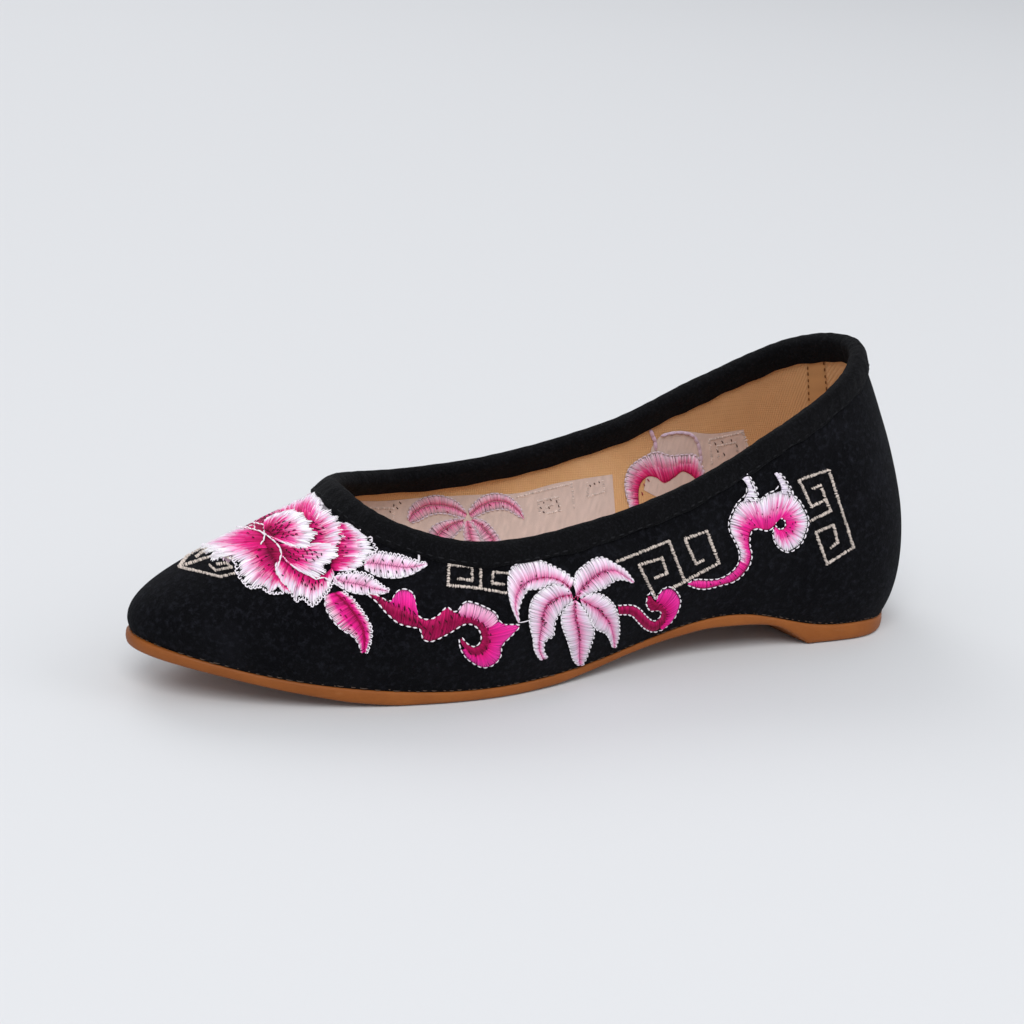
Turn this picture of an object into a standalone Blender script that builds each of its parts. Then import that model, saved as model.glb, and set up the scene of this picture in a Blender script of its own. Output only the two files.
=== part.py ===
"""Left shoe of a pair of embroidered black cloth flats with a pointed toe.

Metres, +X towards the toe, +Y towards the wearer's left (the outer side of this shoe), +Z up.
The origin lies on the floor, under the middle of the heel.
Pieces: moulded rubber outsole, lasted cloth upper, folded collar binding, footbed on its heel wedge.
"""

import bpy
import numpy as np

# Sizes that can be set one by one
LENGTH = 0.2346          # sole, heel to toe tip
BALL_WIDTH = 0.0720      # upper across the ball, at the sole
COLLAR_WIDTH = 0.0673    # widest part of the foot opening
BACK_HEIGHT = 0.0837     # floor to the collar edge at the heel
HEEL_LENGTH = 0.0368     # heel back to the foot of the heel breast
ARCH_LIFT = 0.0088       # floor to the sole's underside in the waist
TOE_SPRING = 0.0130      # floor to the sole's underside at the toe tip
SOLE_EDGE = 0.0034       # height of the sole's side at the ball
SOLE_LEDGE = 0.0005      # how far the sole stands out past the upper
TOE_LEDGE = 0.0013       # the same at the toe tip
SOLE_ROUNDING = 0.0008   # rounding along the sole's lower edge
BREAST_BOW = 0.0045      # how far the heel breast bows forwards in the middle
WALL = 0.0018            # cloth, stiffening and backing of the upper
BINDING = 0.0010         # one layer of the folded binding
BINDING_OUTSIDE = 0.0062  # binding's width on the outside
BINDING_INSIDE = 0.0078  # binding's width on the inside
FOOTBED = 0.0026         # insole on its board under the ball
HEEL_WEDGE = 0.0150      # hidden wedge under the insole at the heel
FOOTBED_DISH = 0.0010    # hollow along the footbed's middle
GAP = 0.0003             # between pieces that meet
FOOTBED_CLEARANCE = 0.0006  # footbed's side to the upper's inside

# Shares
WEDGE_FULL_SHARE = 0.087  # of LENGTH, up to where the footbed is level on its wedge
WEDGE_ENDS_SHARE = 0.647  # of LENGTH, where the wedge has run out
BOW_FADES_SHARE = 2.46   # in heel lengths, where the bow of the heel breast has faded
FOLD_SHOULDER_SHARE = 0.8  # of BINDING, height of the fold's two shoulders

# How finely the forms are divided
STEPS_PER_RIB = 5
WALL_STEPS = 9
FINE_STEPS = 72

# Ribs from heel to toe. Each runs up the upper from the sole (foot) to the collar (top).
# heel_breast stands at HEEL_LENGTH. x are shares of the upper's length at the sole, foot_out and foot_in of BALL_WIDTH,
# edge of SOLE_EDGE, top_half of COLLAR_WIDTH, top_z, rise and drop of BACK_HEIGHT, flare and lean of
# BALL_WIDTH.
# flare and rise steer the rib as it leaves the sole, lean and drop as it reaches the collar.
RIBS = [
    # name          foot_x  foot_out  foot_in  edge  top_x   top_half top_z  flare  rise   lean   drop
    ("heel_back",    0.0000, 0.000,    0.000,   1.10, 0.0511, 0.000,   1.000, 0.182, 0.277, 0.130, 0.223),
    ("heel_round",   0.0271, 0.295,    0.279,   1.18, 0.0708, 0.177,   0.981, 0.169, 0.269, 0.113, 0.223),
    ("heel_side",    0.0783, 0.412,    0.389,   1.46, 0.1150, 0.308,   0.922, 0.157, 0.256, 0.091, 0.221),
    ("heel_breast",  0.1777, 0.410,    0.375,   1.80, 0.1764, 0.372,   0.837, 0.130, 0.247, 0.077, 0.212),
    ("arch_rise",    0.2536, 0.412,    0.354,   0.93, 0.2388, 0.403,   0.758, 0.097, 0.238, 0.078, 0.191),
    ("waist",        0.3588, 0.406,    0.333,   0.71, 0.3106, 0.427,   0.666, 0.111, 0.218, 0.082, 0.170),
    ("midfoot",      0.4758, 0.459,    0.389,   0.66, 0.4068, 0.465,   0.586, 0.096, 0.199, 0.093, 0.151),
    ("joint",        0.5893, 0.521,    0.479,   0.82, 0.5101, 0.489,   0.534, 0.082, 0.198, 0.123, 0.150),
    ("ball",         0.6969, 0.498,    0.492,   1.00, 0.6224, 0.500,   0.517, 0.066, 0.211, 0.167, 0.142),
    ("toe_side",     0.8290, 0.399,    0.422,   0.96, 0.7011, 0.377,   0.555, 0.068, 0.206, 0.211, 0.179),
    ("toe_quarter",  0.9442, 0.231,    0.234,   0.87, 0.7371, 0.196,   0.593, 0.077, 0.192, 0.273, 0.184),
    ("toe_tip",      1.0000, 0.000,    0.000,   0.99, 0.7473, 0.000,   0.617, 0.103, 0.162, 0.366, 0.161),
]

# Underside of the sole in front of the heel: x as a share of the way from the heel breast to the
# toe tip, arch as a share of ARCH_LIFT, spring as a share of TOE_SPRING.
UNDERSIDE = [
    # x      arch   spring
    (0.000, 0.00, 0.00),
    (0.011, 0.17, 0.00),
    (0.030, 0.45, 0.00),
    (0.045, 0.65, 0.00),
    (0.058, 0.78, 0.00),
    (0.087, 0.92, 0.00),
    (0.120, 0.98, 0.00),
    (0.160, 1.00, 0.00),
    (0.229, 0.82, 0.00),
    (0.302, 0.55, 0.00),
    (0.370, 0.24, 0.00),
    (0.439, 0.03, 0.00),
    (0.492, 0.00, 0.00),
    (0.658, 0.00, 0.00),
    (0.717, 0.00, 0.08),
    (0.790, 0.00, 0.29),
    (0.863, 0.00, 0.54),
    (0.932, 0.00, 0.78),
    (1.000, 0.00, 1.00),
]

MATERIALS = {
    # name          colour                      roughness
    "black_cloth": ((0.010, 0.010, 0.013, 1.0), 0.92),
    "black_binding": ((0.013, 0.013, 0.016, 1.0), 0.85),
    "tan_rubber": ((0.42, 0.17, 0.055, 1.0), 0.45),
    "tan_lining": ((0.60, 0.36, 0.17, 1.0), 0.80),
}


def periodic_spline(rows, steps):
    """Smooth closed curve through the rows, as steps points for each span, in any number of columns."""
    rows = np.asarray(rows, float)
    count = len(rows)
    matrix = 4 * np.eye(count) + np.roll(np.eye(count), 1, 0) + np.roll(np.eye(count), -1, 0)
    bends = np.linalg.solve(matrix, 6 * (np.roll(rows, -1, 0) - 2 * rows + np.roll(rows, 1, 0)))
    points = []
    for here in range(count):
        after = (here + 1) % count
        for step in range(steps):
            b = step / steps
            a = 1 - b
            curve = ((a**3 - a) * bends[here] + (b**3 - b) * bends[after]) / 6
            points.append(a * rows[here] + b * rows[after] + curve)
    return np.array(points)


def even_curve(x, xs, values):
    """Curve through (xs, values) that never overshoots, so that flat stretches stay flat."""
    xs, values = np.asarray(xs, float), np.asarray(values, float)
    widths, rises = np.diff(xs), np.diff(values)
    slopes = rises / widths
    tangents = np.zeros(len(xs))
    same_way = slopes[:-1] * slopes[1:] > 0
    before, after = np.where(same_way, slopes[:-1], 1), np.where(same_way, slopes[1:], 1)
    tangents[1:-1] = np.where(same_way, 2 * before * after / (before + after), 0)
    tangents[0], tangents[-1] = slopes[0], slopes[-1]
    x = np.clip(x, xs[0], xs[-1])
    span = np.clip(np.searchsorted(xs, x, side="right") - 1, 0, len(xs) - 2)
    width = widths[span]
    t = (x - xs[span]) / width
    return (
        (2 * t**3 - 3 * t**2 + 1) * values[span]
        + (t**3 - 2 * t**2 + t) * width * tangents[span]
        + (3 * t**2 - 2 * t**3) * values[span + 1]
        + (t**3 - t**2) * width * tangents[span + 1]
    )


def smooth_step(value, start, end):
    """0 before start, 1 after end, smooth between them; start may be the larger one."""
    t = np.clip((value - start) / (end - start), 0, 1)
    return t * t * (3 - 2 * t)


def underside_z(x):
    """Height of the sole's underside at x, measured from the heel back."""
    share, arch, spring = np.array(UNDERSIDE).T
    way = (x - HEEL_LENGTH) / (LENGTH - HEEL_LENGTH)
    height = even_curve(way, share, arch * ARCH_LIFT + spring * TOE_SPRING)
    return np.where(x <= HEEL_LENGTH, 0.0, height)


def along_shoe(share):
    """x at a share of the way from the foot of the upper's heel to the foot of its toe tip."""
    return SOLE_LEDGE + share * (LENGTH - SOLE_LEDGE - TOE_LEDGE)


def rib_rows():
    """The ribs in metres, round the shoe: heel, outer side, toe, inner side."""
    outer, inner = [], []
    for row in RIBS:
        name, foot_x, foot_out, foot_in, edge, top_x, top_half, top_z, flare, rise, lean, drop = row
        x = HEEL_LENGTH if name == "heel_breast" else along_shoe(foot_x)
        foot_z = float(underside_z(x)) + edge * SOLE_EDGE + GAP
        for side, foot_y, rows in ((1, foot_out, outer), (-1, foot_in, inner)):
            rows.append([
                x, side * foot_y * BALL_WIDTH, foot_z,
                along_shoe(top_x), side * top_half * COLLAR_WIDTH, top_z * BACK_HEIGHT,
                flare * BALL_WIDTH, rise * BACK_HEIGHT, lean * BALL_WIDTH, drop * BACK_HEIGHT,
            ])
    return outer + inner[-2:0:-1]


def outward(loop):
    """Unit vectors in plan that point away from a loop that runs heel, outer side, toe, inner side."""
    along = np.roll(loop, -1, 0) - np.roll(loop, 1, 0)
    normal = np.stack([-along[:, 1], along[:, 0], np.zeros(len(loop))], 1)
    return normal / np.linalg.norm(normal, axis=1)[:, None]


class Last:
    """The outer face of the upper as ribs of fine points, each with its normal and arc length."""

    def __init__(self):
        rows = periodic_spline(rib_rows(), STEPS_PER_RIB)
        self.foot, self.top = rows[:, 0:3], rows[:, 3:6]
        flare, rise, lean, drop = rows[:, 6:].T
        up = np.array([0.0, 0.0, 1.0])
        foot_out, top_out = outward(self.foot), outward(self.top)
        near_foot = self.foot + foot_out * flare[:, None] + up * rise[:, None]
        near_top = self.top + top_out * lean[:, None] - up * drop[:, None]
        v = np.linspace(0, 1, FINE_STEPS + 1)[None, :, None]
        foot, top = self.foot[:, None], self.top[:, None]
        near_foot, near_top = near_foot[:, None], near_top[:, None]
        self.points = (
            (1 - v) ** 3 * foot + 3 * (1 - v) ** 2 * v * near_foot
            + 3 * (1 - v) * v**2 * near_top + v**3 * top
        )
        along = np.roll(self.points, -1, 0) - np.roll(self.points, 1, 0)
        upward = np.gradient(self.points, axis=1)
        normals = np.cross(upward, along)
        self.normals = normals / np.linalg.norm(normals, axis=2)[..., None]
        steps = np.linalg.norm(np.diff(self.points, axis=1), axis=2)
        self.lengths = np.concatenate([np.zeros((len(steps), 1)), np.cumsum(steps, 1)], 1)

    def at(self, index, fine):
        """Point and normal on one rib at a fractional fine step."""
        low = int(np.clip(fine, 0, FINE_STEPS - 1))
        share = fine - low
        point = (1 - share) * self.points[index, low] + share * self.points[index, low + 1]
        normal = (1 - share) * self.normals[index, low] + share * self.normals[index, low + 1]
        return point, normal / np.linalg.norm(normal)

    def face(self, offset, steps):
        """A face of the upper, offset along its normals: ribs by steps + 1 points."""
        loops = []
        for index in range(len(self.points)):
            pairs = [self.at(index, FINE_STEPS * step / steps) for step in range(steps + 1)]
            loops.append([point + normal * offset for point, normal in pairs])
        return np.array(loops)

    def below_collar(self, depth, offset):
        """Loop at a depth below the collar edge, measured along the cloth."""
        loop = []
        for index, lengths in enumerate(self.lengths):
            fine = np.interp(lengths[-1] - depth, lengths, np.arange(FINE_STEPS + 1))
            point, normal = self.at(index, fine)
            loop.append(point + normal * offset)
        return np.array(loop)

    def above_sole(self, heights, offset):
        """Loop on the upper at a height above the sole for each rib."""
        loop = []
        for index, height in enumerate(heights):
            rib_z = self.points[index, :, 2]
            fine = np.interp(rib_z[0] + height, rib_z, np.arange(FINE_STEPS + 1))
            point, normal = self.at(index, fine)
            loop.append(point + normal * offset)
        return np.array(loop)

    def above_collar(self, height, offset):
        """Loop past the collar edge, along the direction in which each rib ends."""
        end = self.points[:, -1] - self.points[:, -2]
        end /= np.linalg.norm(end, axis=1)[:, None]
        return self.points[:, -1] + end * height + self.normals[:, -1] * offset


def heel_origin():
    """Middle of the heel's flat, which becomes the origin."""
    return np.array([HEEL_LENGTH / 2, 0.0, 0.0])


def new_object(name, vertices, faces, material):
    """A smooth shaded mesh object whose sharp edges stay sharp."""
    mesh = bpy.data.meshes.new(name)
    mesh.from_pydata([tuple(v - heel_origin()) for v in vertices], [], faces)
    mesh.validate()
    mesh.shade_smooth()
    mesh.set_sharp_from_angle(angle=np.radians(40))
    mesh.materials.append(material)
    obj = bpy.data.objects.new(name, mesh)
    bpy.context.scene.collection.objects.link(obj)
    return obj


def ring_faces(loop_count, ribs, first=0, closed=True):
    """Quads between consecutive loops of ribs points each; closed joins the last loop to the first."""
    faces = []
    for loop in range(loop_count if closed else loop_count - 1):
        after = (loop + 1) % loop_count
        for rib in range(ribs):
            beside = (rib + 1) % ribs
            faces.append((
                first + loop * ribs + rib, first + after * ribs + rib,
                first + after * ribs + beside, first + loop * ribs + beside,
            ))
    return faces


def ladder(outer_loop, across, shape):
    """Rungs that join each point of a loop's outer side to its mirror on the inner side.

    across are the shares of the way over, shape moves a rung's point. Returns the points inside
    the loop and a lookup from (station, place) to a vertex index, where the loop comes first.
    """
    ribs = len(outer_loop)
    stations = ribs // 2
    points, lookup = [], {}
    for station in range(1, stations):
        start, end = outer_loop[station], outer_loop[ribs - station]
        lookup[station, 0] = station
        lookup[station, len(across) + 1] = ribs - station
        for place, share in enumerate(across, 1):
            lookup[station, place] = ribs + len(points)
            points.append(shape(start + (end - start) * share, station, share))
    return points, lookup


def ladder_faces(ribs, places, lookup, first, inner_first):
    """Faces of a ladder. first is the loop's own first vertex, inner_first that of the inside points."""
    def vertex(station, place):
        index = lookup[station, place]
        return first + index if index < ribs else inner_first + index - ribs

    stations = ribs // 2
    faces = []
    for station in range(1, stations - 1):
        for place in range(places - 1):
            faces.append((
                vertex(station, place), vertex(station, place + 1),
                vertex(station + 1, place + 1), vertex(station + 1, place),
            ))
    for place in range(places - 1):
        faces.append((first, vertex(1, place + 1), vertex(1, place)))
        faces.append((first + stations, vertex(stations - 1, place), vertex(stations - 1, place + 1)))
    return faces


def build_upper(last, material):
    """One hollow wall, open at the collar and along the sole."""
    outer = last.face(0.0, WALL_STEPS)
    inner = last.face(-WALL, WALL_STEPS)
    loops = [outer[:, step] for step in range(WALL_STEPS + 1)]
    loops += [inner[:, step] for step in range(WALL_STEPS, -1, -1)]
    return new_object("upper", np.concatenate(loops), ring_faces(len(loops), len(outer)), material)


def build_binding(last, material):
    """Cloth strip folded over the collar edge, a U in section all the way round."""
    outer_gap, outer_face = GAP, GAP + BINDING
    inner_gap, inner_face = -WALL - GAP, -WALL - GAP - BINDING
    middle = -WALL / 2
    loops = [
        last.below_collar(BINDING_OUTSIDE, outer_gap),
        last.below_collar(BINDING_OUTSIDE, outer_face),
        last.below_collar(BINDING_OUTSIDE / 2, outer_face),
        last.below_collar(0.0, outer_face),
        last.above_collar(GAP + FOLD_SHOULDER_SHARE * BINDING, GAP),
        last.above_collar(GAP + BINDING, middle),
        last.above_collar(GAP + FOLD_SHOULDER_SHARE * BINDING, -WALL - GAP),
        last.below_collar(0.0, inner_face),
        last.below_collar(BINDING_INSIDE / 2, inner_face),
        last.below_collar(BINDING_INSIDE, inner_face),
        last.below_collar(BINDING_INSIDE, inner_gap),
        last.below_collar(BINDING_INSIDE / 2, inner_gap),
        last.above_collar(GAP, inner_gap),
        last.above_collar(GAP, outer_gap),
        last.below_collar(BINDING_OUTSIDE / 2, outer_gap),
    ]
    ribs = len(last.points)
    return new_object("collar_binding", np.concatenate(loops), ring_faces(len(loops), ribs), material)


def breast_bow(x, share):
    """How far a line across the sole bows forwards at a share of the way over."""
    grows = smooth_step(x, 0.0, HEEL_LENGTH)
    fades = smooth_step(x, BOW_FADES_SHARE * HEEL_LENGTH, HEEL_LENGTH)
    return BREAST_BOW * grows * fades * (1 - (2 * share - 1) ** 2)


def build_outsole(last, material):
    """Moulded sole: edge, flat heel with its bowed breast, arch, flat ball and toe spring."""
    ribs = len(last.foot)
    ledge = SOLE_LEDGE + (TOE_LEDGE - SOLE_LEDGE) * smooth_step(last.foot[:, 0], 0.9 * LENGTH, LENGTH)
    top = last.foot + outward(last.foot) * ledge[:, None]
    top[:, 2] -= GAP
    low_z = underside_z(last.foot[:, 0])
    middle = top.copy()
    middle[:, 2] = (top[:, 2] + low_z) / 2
    side = top.copy()
    side[:, 2] = low_z + SOLE_ROUNDING
    under = top - outward(last.foot) * SOLE_ROUNDING
    under[:, 2] = low_z
    under_across = (0.1, 0.3, 0.5, 0.7, 0.9)
    top_across = (0.25, 0.5, 0.75)

    def bowed(point, station, share):
        moved = point.copy()
        moved[0] += breast_bow(last.foot[station, 0], share)
        return moved

    top_points, top_lookup = ladder(top, top_across, lambda point, station, share: point)
    under_points, under_lookup = ladder(under, under_across, bowed)
    vertices = np.concatenate([top, middle, side, under, top_points, under_points])
    faces = ring_faces(4, ribs, closed=False)
    inner_first = 4 * ribs
    faces = [face[::-1] for face in faces]
    faces += ladder_faces(ribs, len(top_across) + 2, top_lookup, 0, inner_first)
    below = ladder_faces(
        ribs, len(under_across) + 2, under_lookup, 3 * ribs, inner_first + len(top_points)
    )
    faces += [face[::-1] for face in below]
    return new_object("outsole", vertices, faces, material)


def build_footbed(last, material):
    """Insole on its board and hidden heel wedge, cut to the inside of the upper."""
    ribs = len(last.foot)
    seat = SOLE_EDGE + FOOTBED + HEEL_WEDGE * smooth_step(
        last.foot[:, 0], WEDGE_ENDS_SHARE * LENGTH, WEDGE_FULL_SHARE * LENGTH
    )
    thickness = np.maximum(FOOTBED, seat - last.foot[:, 2])
    offset = -WALL - FOOTBED_CLEARANCE
    loops = [last.above_sole(thickness * share, offset) for share in (0.0, 0.33, 0.67, 1.0)]
    loops[0][:, 2] = last.foot[:, 2]
    across = (0.25, 0.5, 0.75)

    def dished(point, station, share):
        return point - np.array([0, 0, FOOTBED_DISH * np.sin(np.pi * share)])

    under_points, under_lookup = ladder(loops[0], across, lambda point, station, share: point)
    top_points, top_lookup = ladder(loops[-1], across, dished)
    vertices = np.concatenate([*loops, under_points, top_points])
    inner_first = len(loops) * ribs
    faces = ring_faces(len(loops), ribs, closed=False)
    below = ladder_faces(ribs, len(across) + 2, under_lookup, 0, inner_first)
    faces += [face[::-1] for face in below]
    faces += ladder_faces(
        ribs, len(across) + 2, top_lookup, inner_first - ribs, inner_first + len(under_points)
    )
    return new_object("footbed", vertices, faces, material)


def make_materials():
    made = {}
    for name, (colour, roughness) in MATERIALS.items():
        material = bpy.data.materials.new(name)
        material.use_nodes = True
        shader = material.node_tree.nodes["Principled BSDF"]
        shader.inputs["Base Color"].default_value = colour
        shader.inputs["Roughness"].default_value = roughness
        shader.inputs["Metallic"].default_value = 0.0
        material.diffuse_color = colour
        made[name] = material
    return made


def main():
    for obj in list(bpy.data.objects):
        bpy.data.objects.remove(obj)
    materials = make_materials()
    last = Last()
    build_outsole(last, materials["tan_rubber"])
    build_upper(last, materials["black_cloth"])
    build_binding(last, materials["black_binding"])
    build_footbed(last, materials["tan_lining"])


main()
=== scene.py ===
"""Embroidered black cloth flat: the finished look over the CAD frame.

Metres, the frame of the part: +X towards the toe, +Y the outer side of this left shoe, +Z up.
The last is repeated here from the part's named sizes, finer, and every piece is laid on it.
"""

import bpy
import numpy as np
from mathutils import Matrix, Vector


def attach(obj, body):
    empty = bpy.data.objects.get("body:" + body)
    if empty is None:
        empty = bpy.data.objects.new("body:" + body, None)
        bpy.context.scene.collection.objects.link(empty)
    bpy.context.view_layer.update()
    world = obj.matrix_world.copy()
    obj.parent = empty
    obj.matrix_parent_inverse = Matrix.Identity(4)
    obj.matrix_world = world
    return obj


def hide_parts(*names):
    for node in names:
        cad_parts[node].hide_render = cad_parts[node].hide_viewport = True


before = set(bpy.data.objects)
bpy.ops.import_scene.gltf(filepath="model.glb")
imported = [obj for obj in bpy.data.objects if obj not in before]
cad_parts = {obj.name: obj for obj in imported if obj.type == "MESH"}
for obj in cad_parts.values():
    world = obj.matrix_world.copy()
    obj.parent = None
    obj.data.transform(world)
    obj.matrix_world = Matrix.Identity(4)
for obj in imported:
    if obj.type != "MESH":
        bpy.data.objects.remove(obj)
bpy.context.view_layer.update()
rng = np.random.default_rng(11)

# Sizes of the part
LENGTH = 0.2346
BALL_WIDTH = 0.0720
COLLAR_WIDTH = 0.0673
BACK_HEIGHT = 0.0837
HEEL_LENGTH = 0.0368
ARCH_LIFT = 0.0088
TOE_SPRING = 0.0130
SOLE_EDGE = 0.0034
SOLE_LEDGE = 0.0005
TOE_LEDGE = 0.0013
BREAST_BOW = 0.0045
WALL = 0.0018
BINDING_OUTSIDE = 0.0062
BINDING_INSIDE = 0.0078
FOOTBED = 0.0026
HEEL_WEDGE = 0.0150
FOOTBED_DISH = 0.0010
GAP = 0.0003
WEDGE_FULL_SHARE = 0.087
WEDGE_ENDS_SHARE = 0.647
BOW_FADES_SHARE = 2.46

# The ribs of the last, heel to toe; lengths are shares of the named sizes
RIBS = [
    # name          foot_x  foot_out  foot_in  edge  top_x   top_half top_z  flare  rise   lean   drop
    ("heel_back",    0.0000, 0.000,    0.000,   1.10, 0.0511, 0.000,   1.000, 0.182, 0.277, 0.130, 0.223),
    ("heel_round",   0.0271, 0.295,    0.279,   1.18, 0.0708, 0.177,   0.981, 0.169, 0.269, 0.113, 0.223),
    ("heel_side",    0.0783, 0.412,    0.389,   1.46, 0.1150, 0.308,   0.922, 0.157, 0.256, 0.091, 0.221),
    ("heel_breast",  0.1777, 0.410,    0.375,   1.80, 0.1764, 0.372,   0.837, 0.130, 0.247, 0.077, 0.212),
    ("arch_rise",    0.2536, 0.412,    0.354,   0.93, 0.2388, 0.403,   0.758, 0.097, 0.238, 0.078, 0.191),
    ("waist",        0.3588, 0.406,    0.333,   0.71, 0.3106, 0.427,   0.666, 0.111, 0.218, 0.082, 0.170),
    ("midfoot",      0.4758, 0.459,    0.389,   0.66, 0.4068, 0.465,   0.586, 0.096, 0.199, 0.093, 0.151),
    ("joint",        0.5893, 0.521,    0.479,   0.82, 0.5101, 0.489,   0.534, 0.082, 0.198, 0.123, 0.150),
    ("ball",         0.6969, 0.498,    0.492,   1.00, 0.6224, 0.500,   0.517, 0.066, 0.211, 0.167, 0.142),
    ("toe_side",     0.8290, 0.399,    0.422,   0.96, 0.7011, 0.377,   0.555, 0.068, 0.206, 0.211, 0.179),
    ("toe_quarter",  0.9442, 0.231,    0.234,   0.87, 0.7371, 0.196,   0.593, 0.077, 0.192, 0.273, 0.184),
    ("toe_tip",      1.0000, 0.000,    0.000,   0.99, 0.7473, 0.000,   0.617, 0.103, 0.162, 0.366, 0.161),
]
# Share of the way from the heel to the toe, share of the arch's lift, share of the toe spring
UNDERSIDE = [
    (0.000, 0.00, 0.00), (0.011, 0.17, 0.00), (0.030, 0.45, 0.00), (0.045, 0.65, 0.00), (0.058, 0.78, 0.00),
    (0.087, 0.92, 0.00), (0.120, 0.98, 0.00), (0.160, 1.00, 0.00), (0.229, 0.82, 0.00), (0.302, 0.55, 0.00),
    (0.370, 0.24, 0.00), (0.439, 0.03, 0.00), (0.492, 0.00, 0.00), (0.658, 0.00, 0.00), (0.717, 0.00, 0.08),
    (0.790, 0.00, 0.29), (0.863, 0.00, 0.54), (0.932, 0.00, 0.78), (1.000, 0.00, 1.00),
]
# Share of the way up the sole's side, and how far in from its ledge
SOLE_SIDE = [
    (1.00, 0.00140), (1.00, 0.00045), (0.93, 0.00010), (0.80, 0.00000), (0.50, -0.00010),
    (0.28, 0.00000), (0.13, 0.00015), (0.04, 0.00045), (0.00, 0.00100),
]
# Share of the way up the footbed's edge, and its room to the lining
BED_SIDE = [(0.0, 0.0006), (0.5, 0.0005), (0.9, 0.0005), (0.97, 0.0008), (1.0, 0.0016)]
# Share of the tape's width down from the collar, and how far it stands off the cloth
TAPE_OUTSIDE = [
    (1.00, 0.00010), (1.00, 0.00060), (0.94, 0.00115), (0.80, 0.00125), (0.60, 0.00150),
    (0.40, 0.00165), (0.22, 0.00165), (0.08, 0.00150),
]
TAPE_INSIDE = [
    (0.08, 0.00145), (0.25, 0.00155), (0.45, 0.00150), (0.65, 0.00135), (0.85, 0.00115),
    (0.96, 0.00100), (1.00, 0.00060), (1.00, 0.00010),
]
PLY = 0.0007             # the black cloth, and the lining, each as drawn
SPANS = 2 * (len(RIBS) - 1)
TOE = len(RIBS) - 1      # u of the toe tip; u runs heel, outer side, toe, inner side
STEPS = 24               # fine ribs for each span
FINE = 96                # steps up each rib


# Curves
def periodic_spline(rows, steps):
    """A closed cubic spline through the rows, with this many steps from each to the next."""
    rows = np.asarray(rows, float)
    count = len(rows)
    matrix = 4 * np.eye(count) + np.roll(np.eye(count), 1, 0) + np.roll(np.eye(count), -1, 0)
    bends = np.linalg.solve(matrix, 6 * (np.roll(rows, -1, 0) - 2 * rows + np.roll(rows, 1, 0)))
    b = (np.arange(steps) / steps)[None, :, None]
    a = 1 - b
    after, bends_after = np.roll(rows, -1, 0)[:, None], np.roll(bends, -1, 0)[:, None]
    curve = ((a**3 - a) * bends[:, None] + (b**3 - b) * bends_after) / 6
    return (a * rows[:, None] + b * after + curve).reshape(count * steps, -1)


def even_curve(x, xs, values):
    """A smooth curve through the values, read at x, that never swings past them."""
    xs, values = np.asarray(xs, float), np.asarray(values, float)
    widths, rises = np.diff(xs), np.diff(values)
    slopes = rises / widths
    tangents = np.zeros(len(xs))
    same_way = slopes[:-1] * slopes[1:] > 0
    before, after = np.where(same_way, slopes[:-1], 1), np.where(same_way, slopes[1:], 1)
    tangents[1:-1] = np.where(same_way, 2 * before * after / (before + after), 0)
    tangents[0], tangents[-1] = slopes[0], slopes[-1]
    x = np.clip(x, xs[0], xs[-1])
    span = np.clip(np.searchsorted(xs, x, side="right") - 1, 0, len(xs) - 2)
    width = widths[span]
    t = (x - xs[span]) / width
    return (
        (2 * t**3 - 3 * t**2 + 1) * values[span] + (t**3 - 2 * t**2 + t) * width * tangents[span]
        + (3 * t**2 - 2 * t**3) * values[span + 1] + (t**3 - t**2) * width * tangents[span + 1]
    )


def smooth_step(value, start, end):
    """0 up to start, 1 from end on, and smooth between them."""
    t = np.clip((value - start) / (end - start), 0, 1)
    return t * t * (3 - 2 * t)


def through(points, count):
    """Smooth curve through points, evenly spaced by their numbers."""
    points = np.asarray(points, float)
    ends = np.vstack([2 * points[0] - points[1], points, 2 * points[-1] - points[-2]])
    t = np.linspace(0, len(points) - 1, count)
    i = np.minimum(t.astype(int), len(points) - 2)
    f = (t - i)[:, None]
    p0, p1, p2, p3 = ends[i], ends[i + 1], ends[i + 2], ends[i + 3]
    return 0.5 * (
        2 * p1 + (p2 - p0) * f + (2 * p0 - 5 * p1 + 4 * p2 - p3) * f**2
        + (3 * p1 - p0 - 3 * p2 + p3) * f**3
    )


def run_length(line):
    """How far along the line each of its points lies."""
    return np.concatenate([[0], np.cumsum(np.linalg.norm(np.diff(line, axis=0), axis=1))])


def pick(line, places, where):
    """The two columns of a line read between its points, which lie at places."""
    return np.stack([np.interp(where, places, line[:, k]) for k in (0, 1)], 1)


def unit(vectors):
    return vectors / np.maximum(np.linalg.norm(vectors, axis=-1, keepdims=True), 1e-12)


# The last
def underside_z(x):
    """Height of the sole's underside, flat under the heel, then the arch, the ball and the toe spring."""
    share, arch, spring = np.array(UNDERSIDE).T
    way = (x - HEEL_LENGTH) / (LENGTH - HEEL_LENGTH)
    height = even_curve(way, share, arch * ARCH_LIFT + spring * TOE_SPRING)
    return np.where(x <= HEEL_LENGTH, 0.0, height)


def along_shoe(share):
    """Distance from the heel, within the two ledges of the sole."""
    return SOLE_LEDGE + share * (LENGTH - SOLE_LEDGE - TOE_LEDGE)


def rib_rows():
    """Foot, top and four handle lengths of each rib in metres, once round the shoe."""
    outer, inner = [], []
    for name, foot_x, foot_out, foot_in, edge, top_x, top_half, top_z, flare, rise, lean, drop in RIBS:
        x = HEEL_LENGTH if name == "heel_breast" else along_shoe(foot_x)
        foot_z = float(underside_z(x)) + edge * SOLE_EDGE + GAP
        for side, foot_y, rows in ((1, foot_out, outer), (-1, foot_in, inner)):
            rows.append([
                x, side * foot_y * BALL_WIDTH, foot_z,
                along_shoe(top_x), side * top_half * COLLAR_WIDTH, top_z * BACK_HEIGHT,
                flare * BALL_WIDTH, rise * BACK_HEIGHT, lean * BALL_WIDTH, drop * BACK_HEIGHT,
            ])
    return outer + inner[-2:0:-1]


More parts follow.
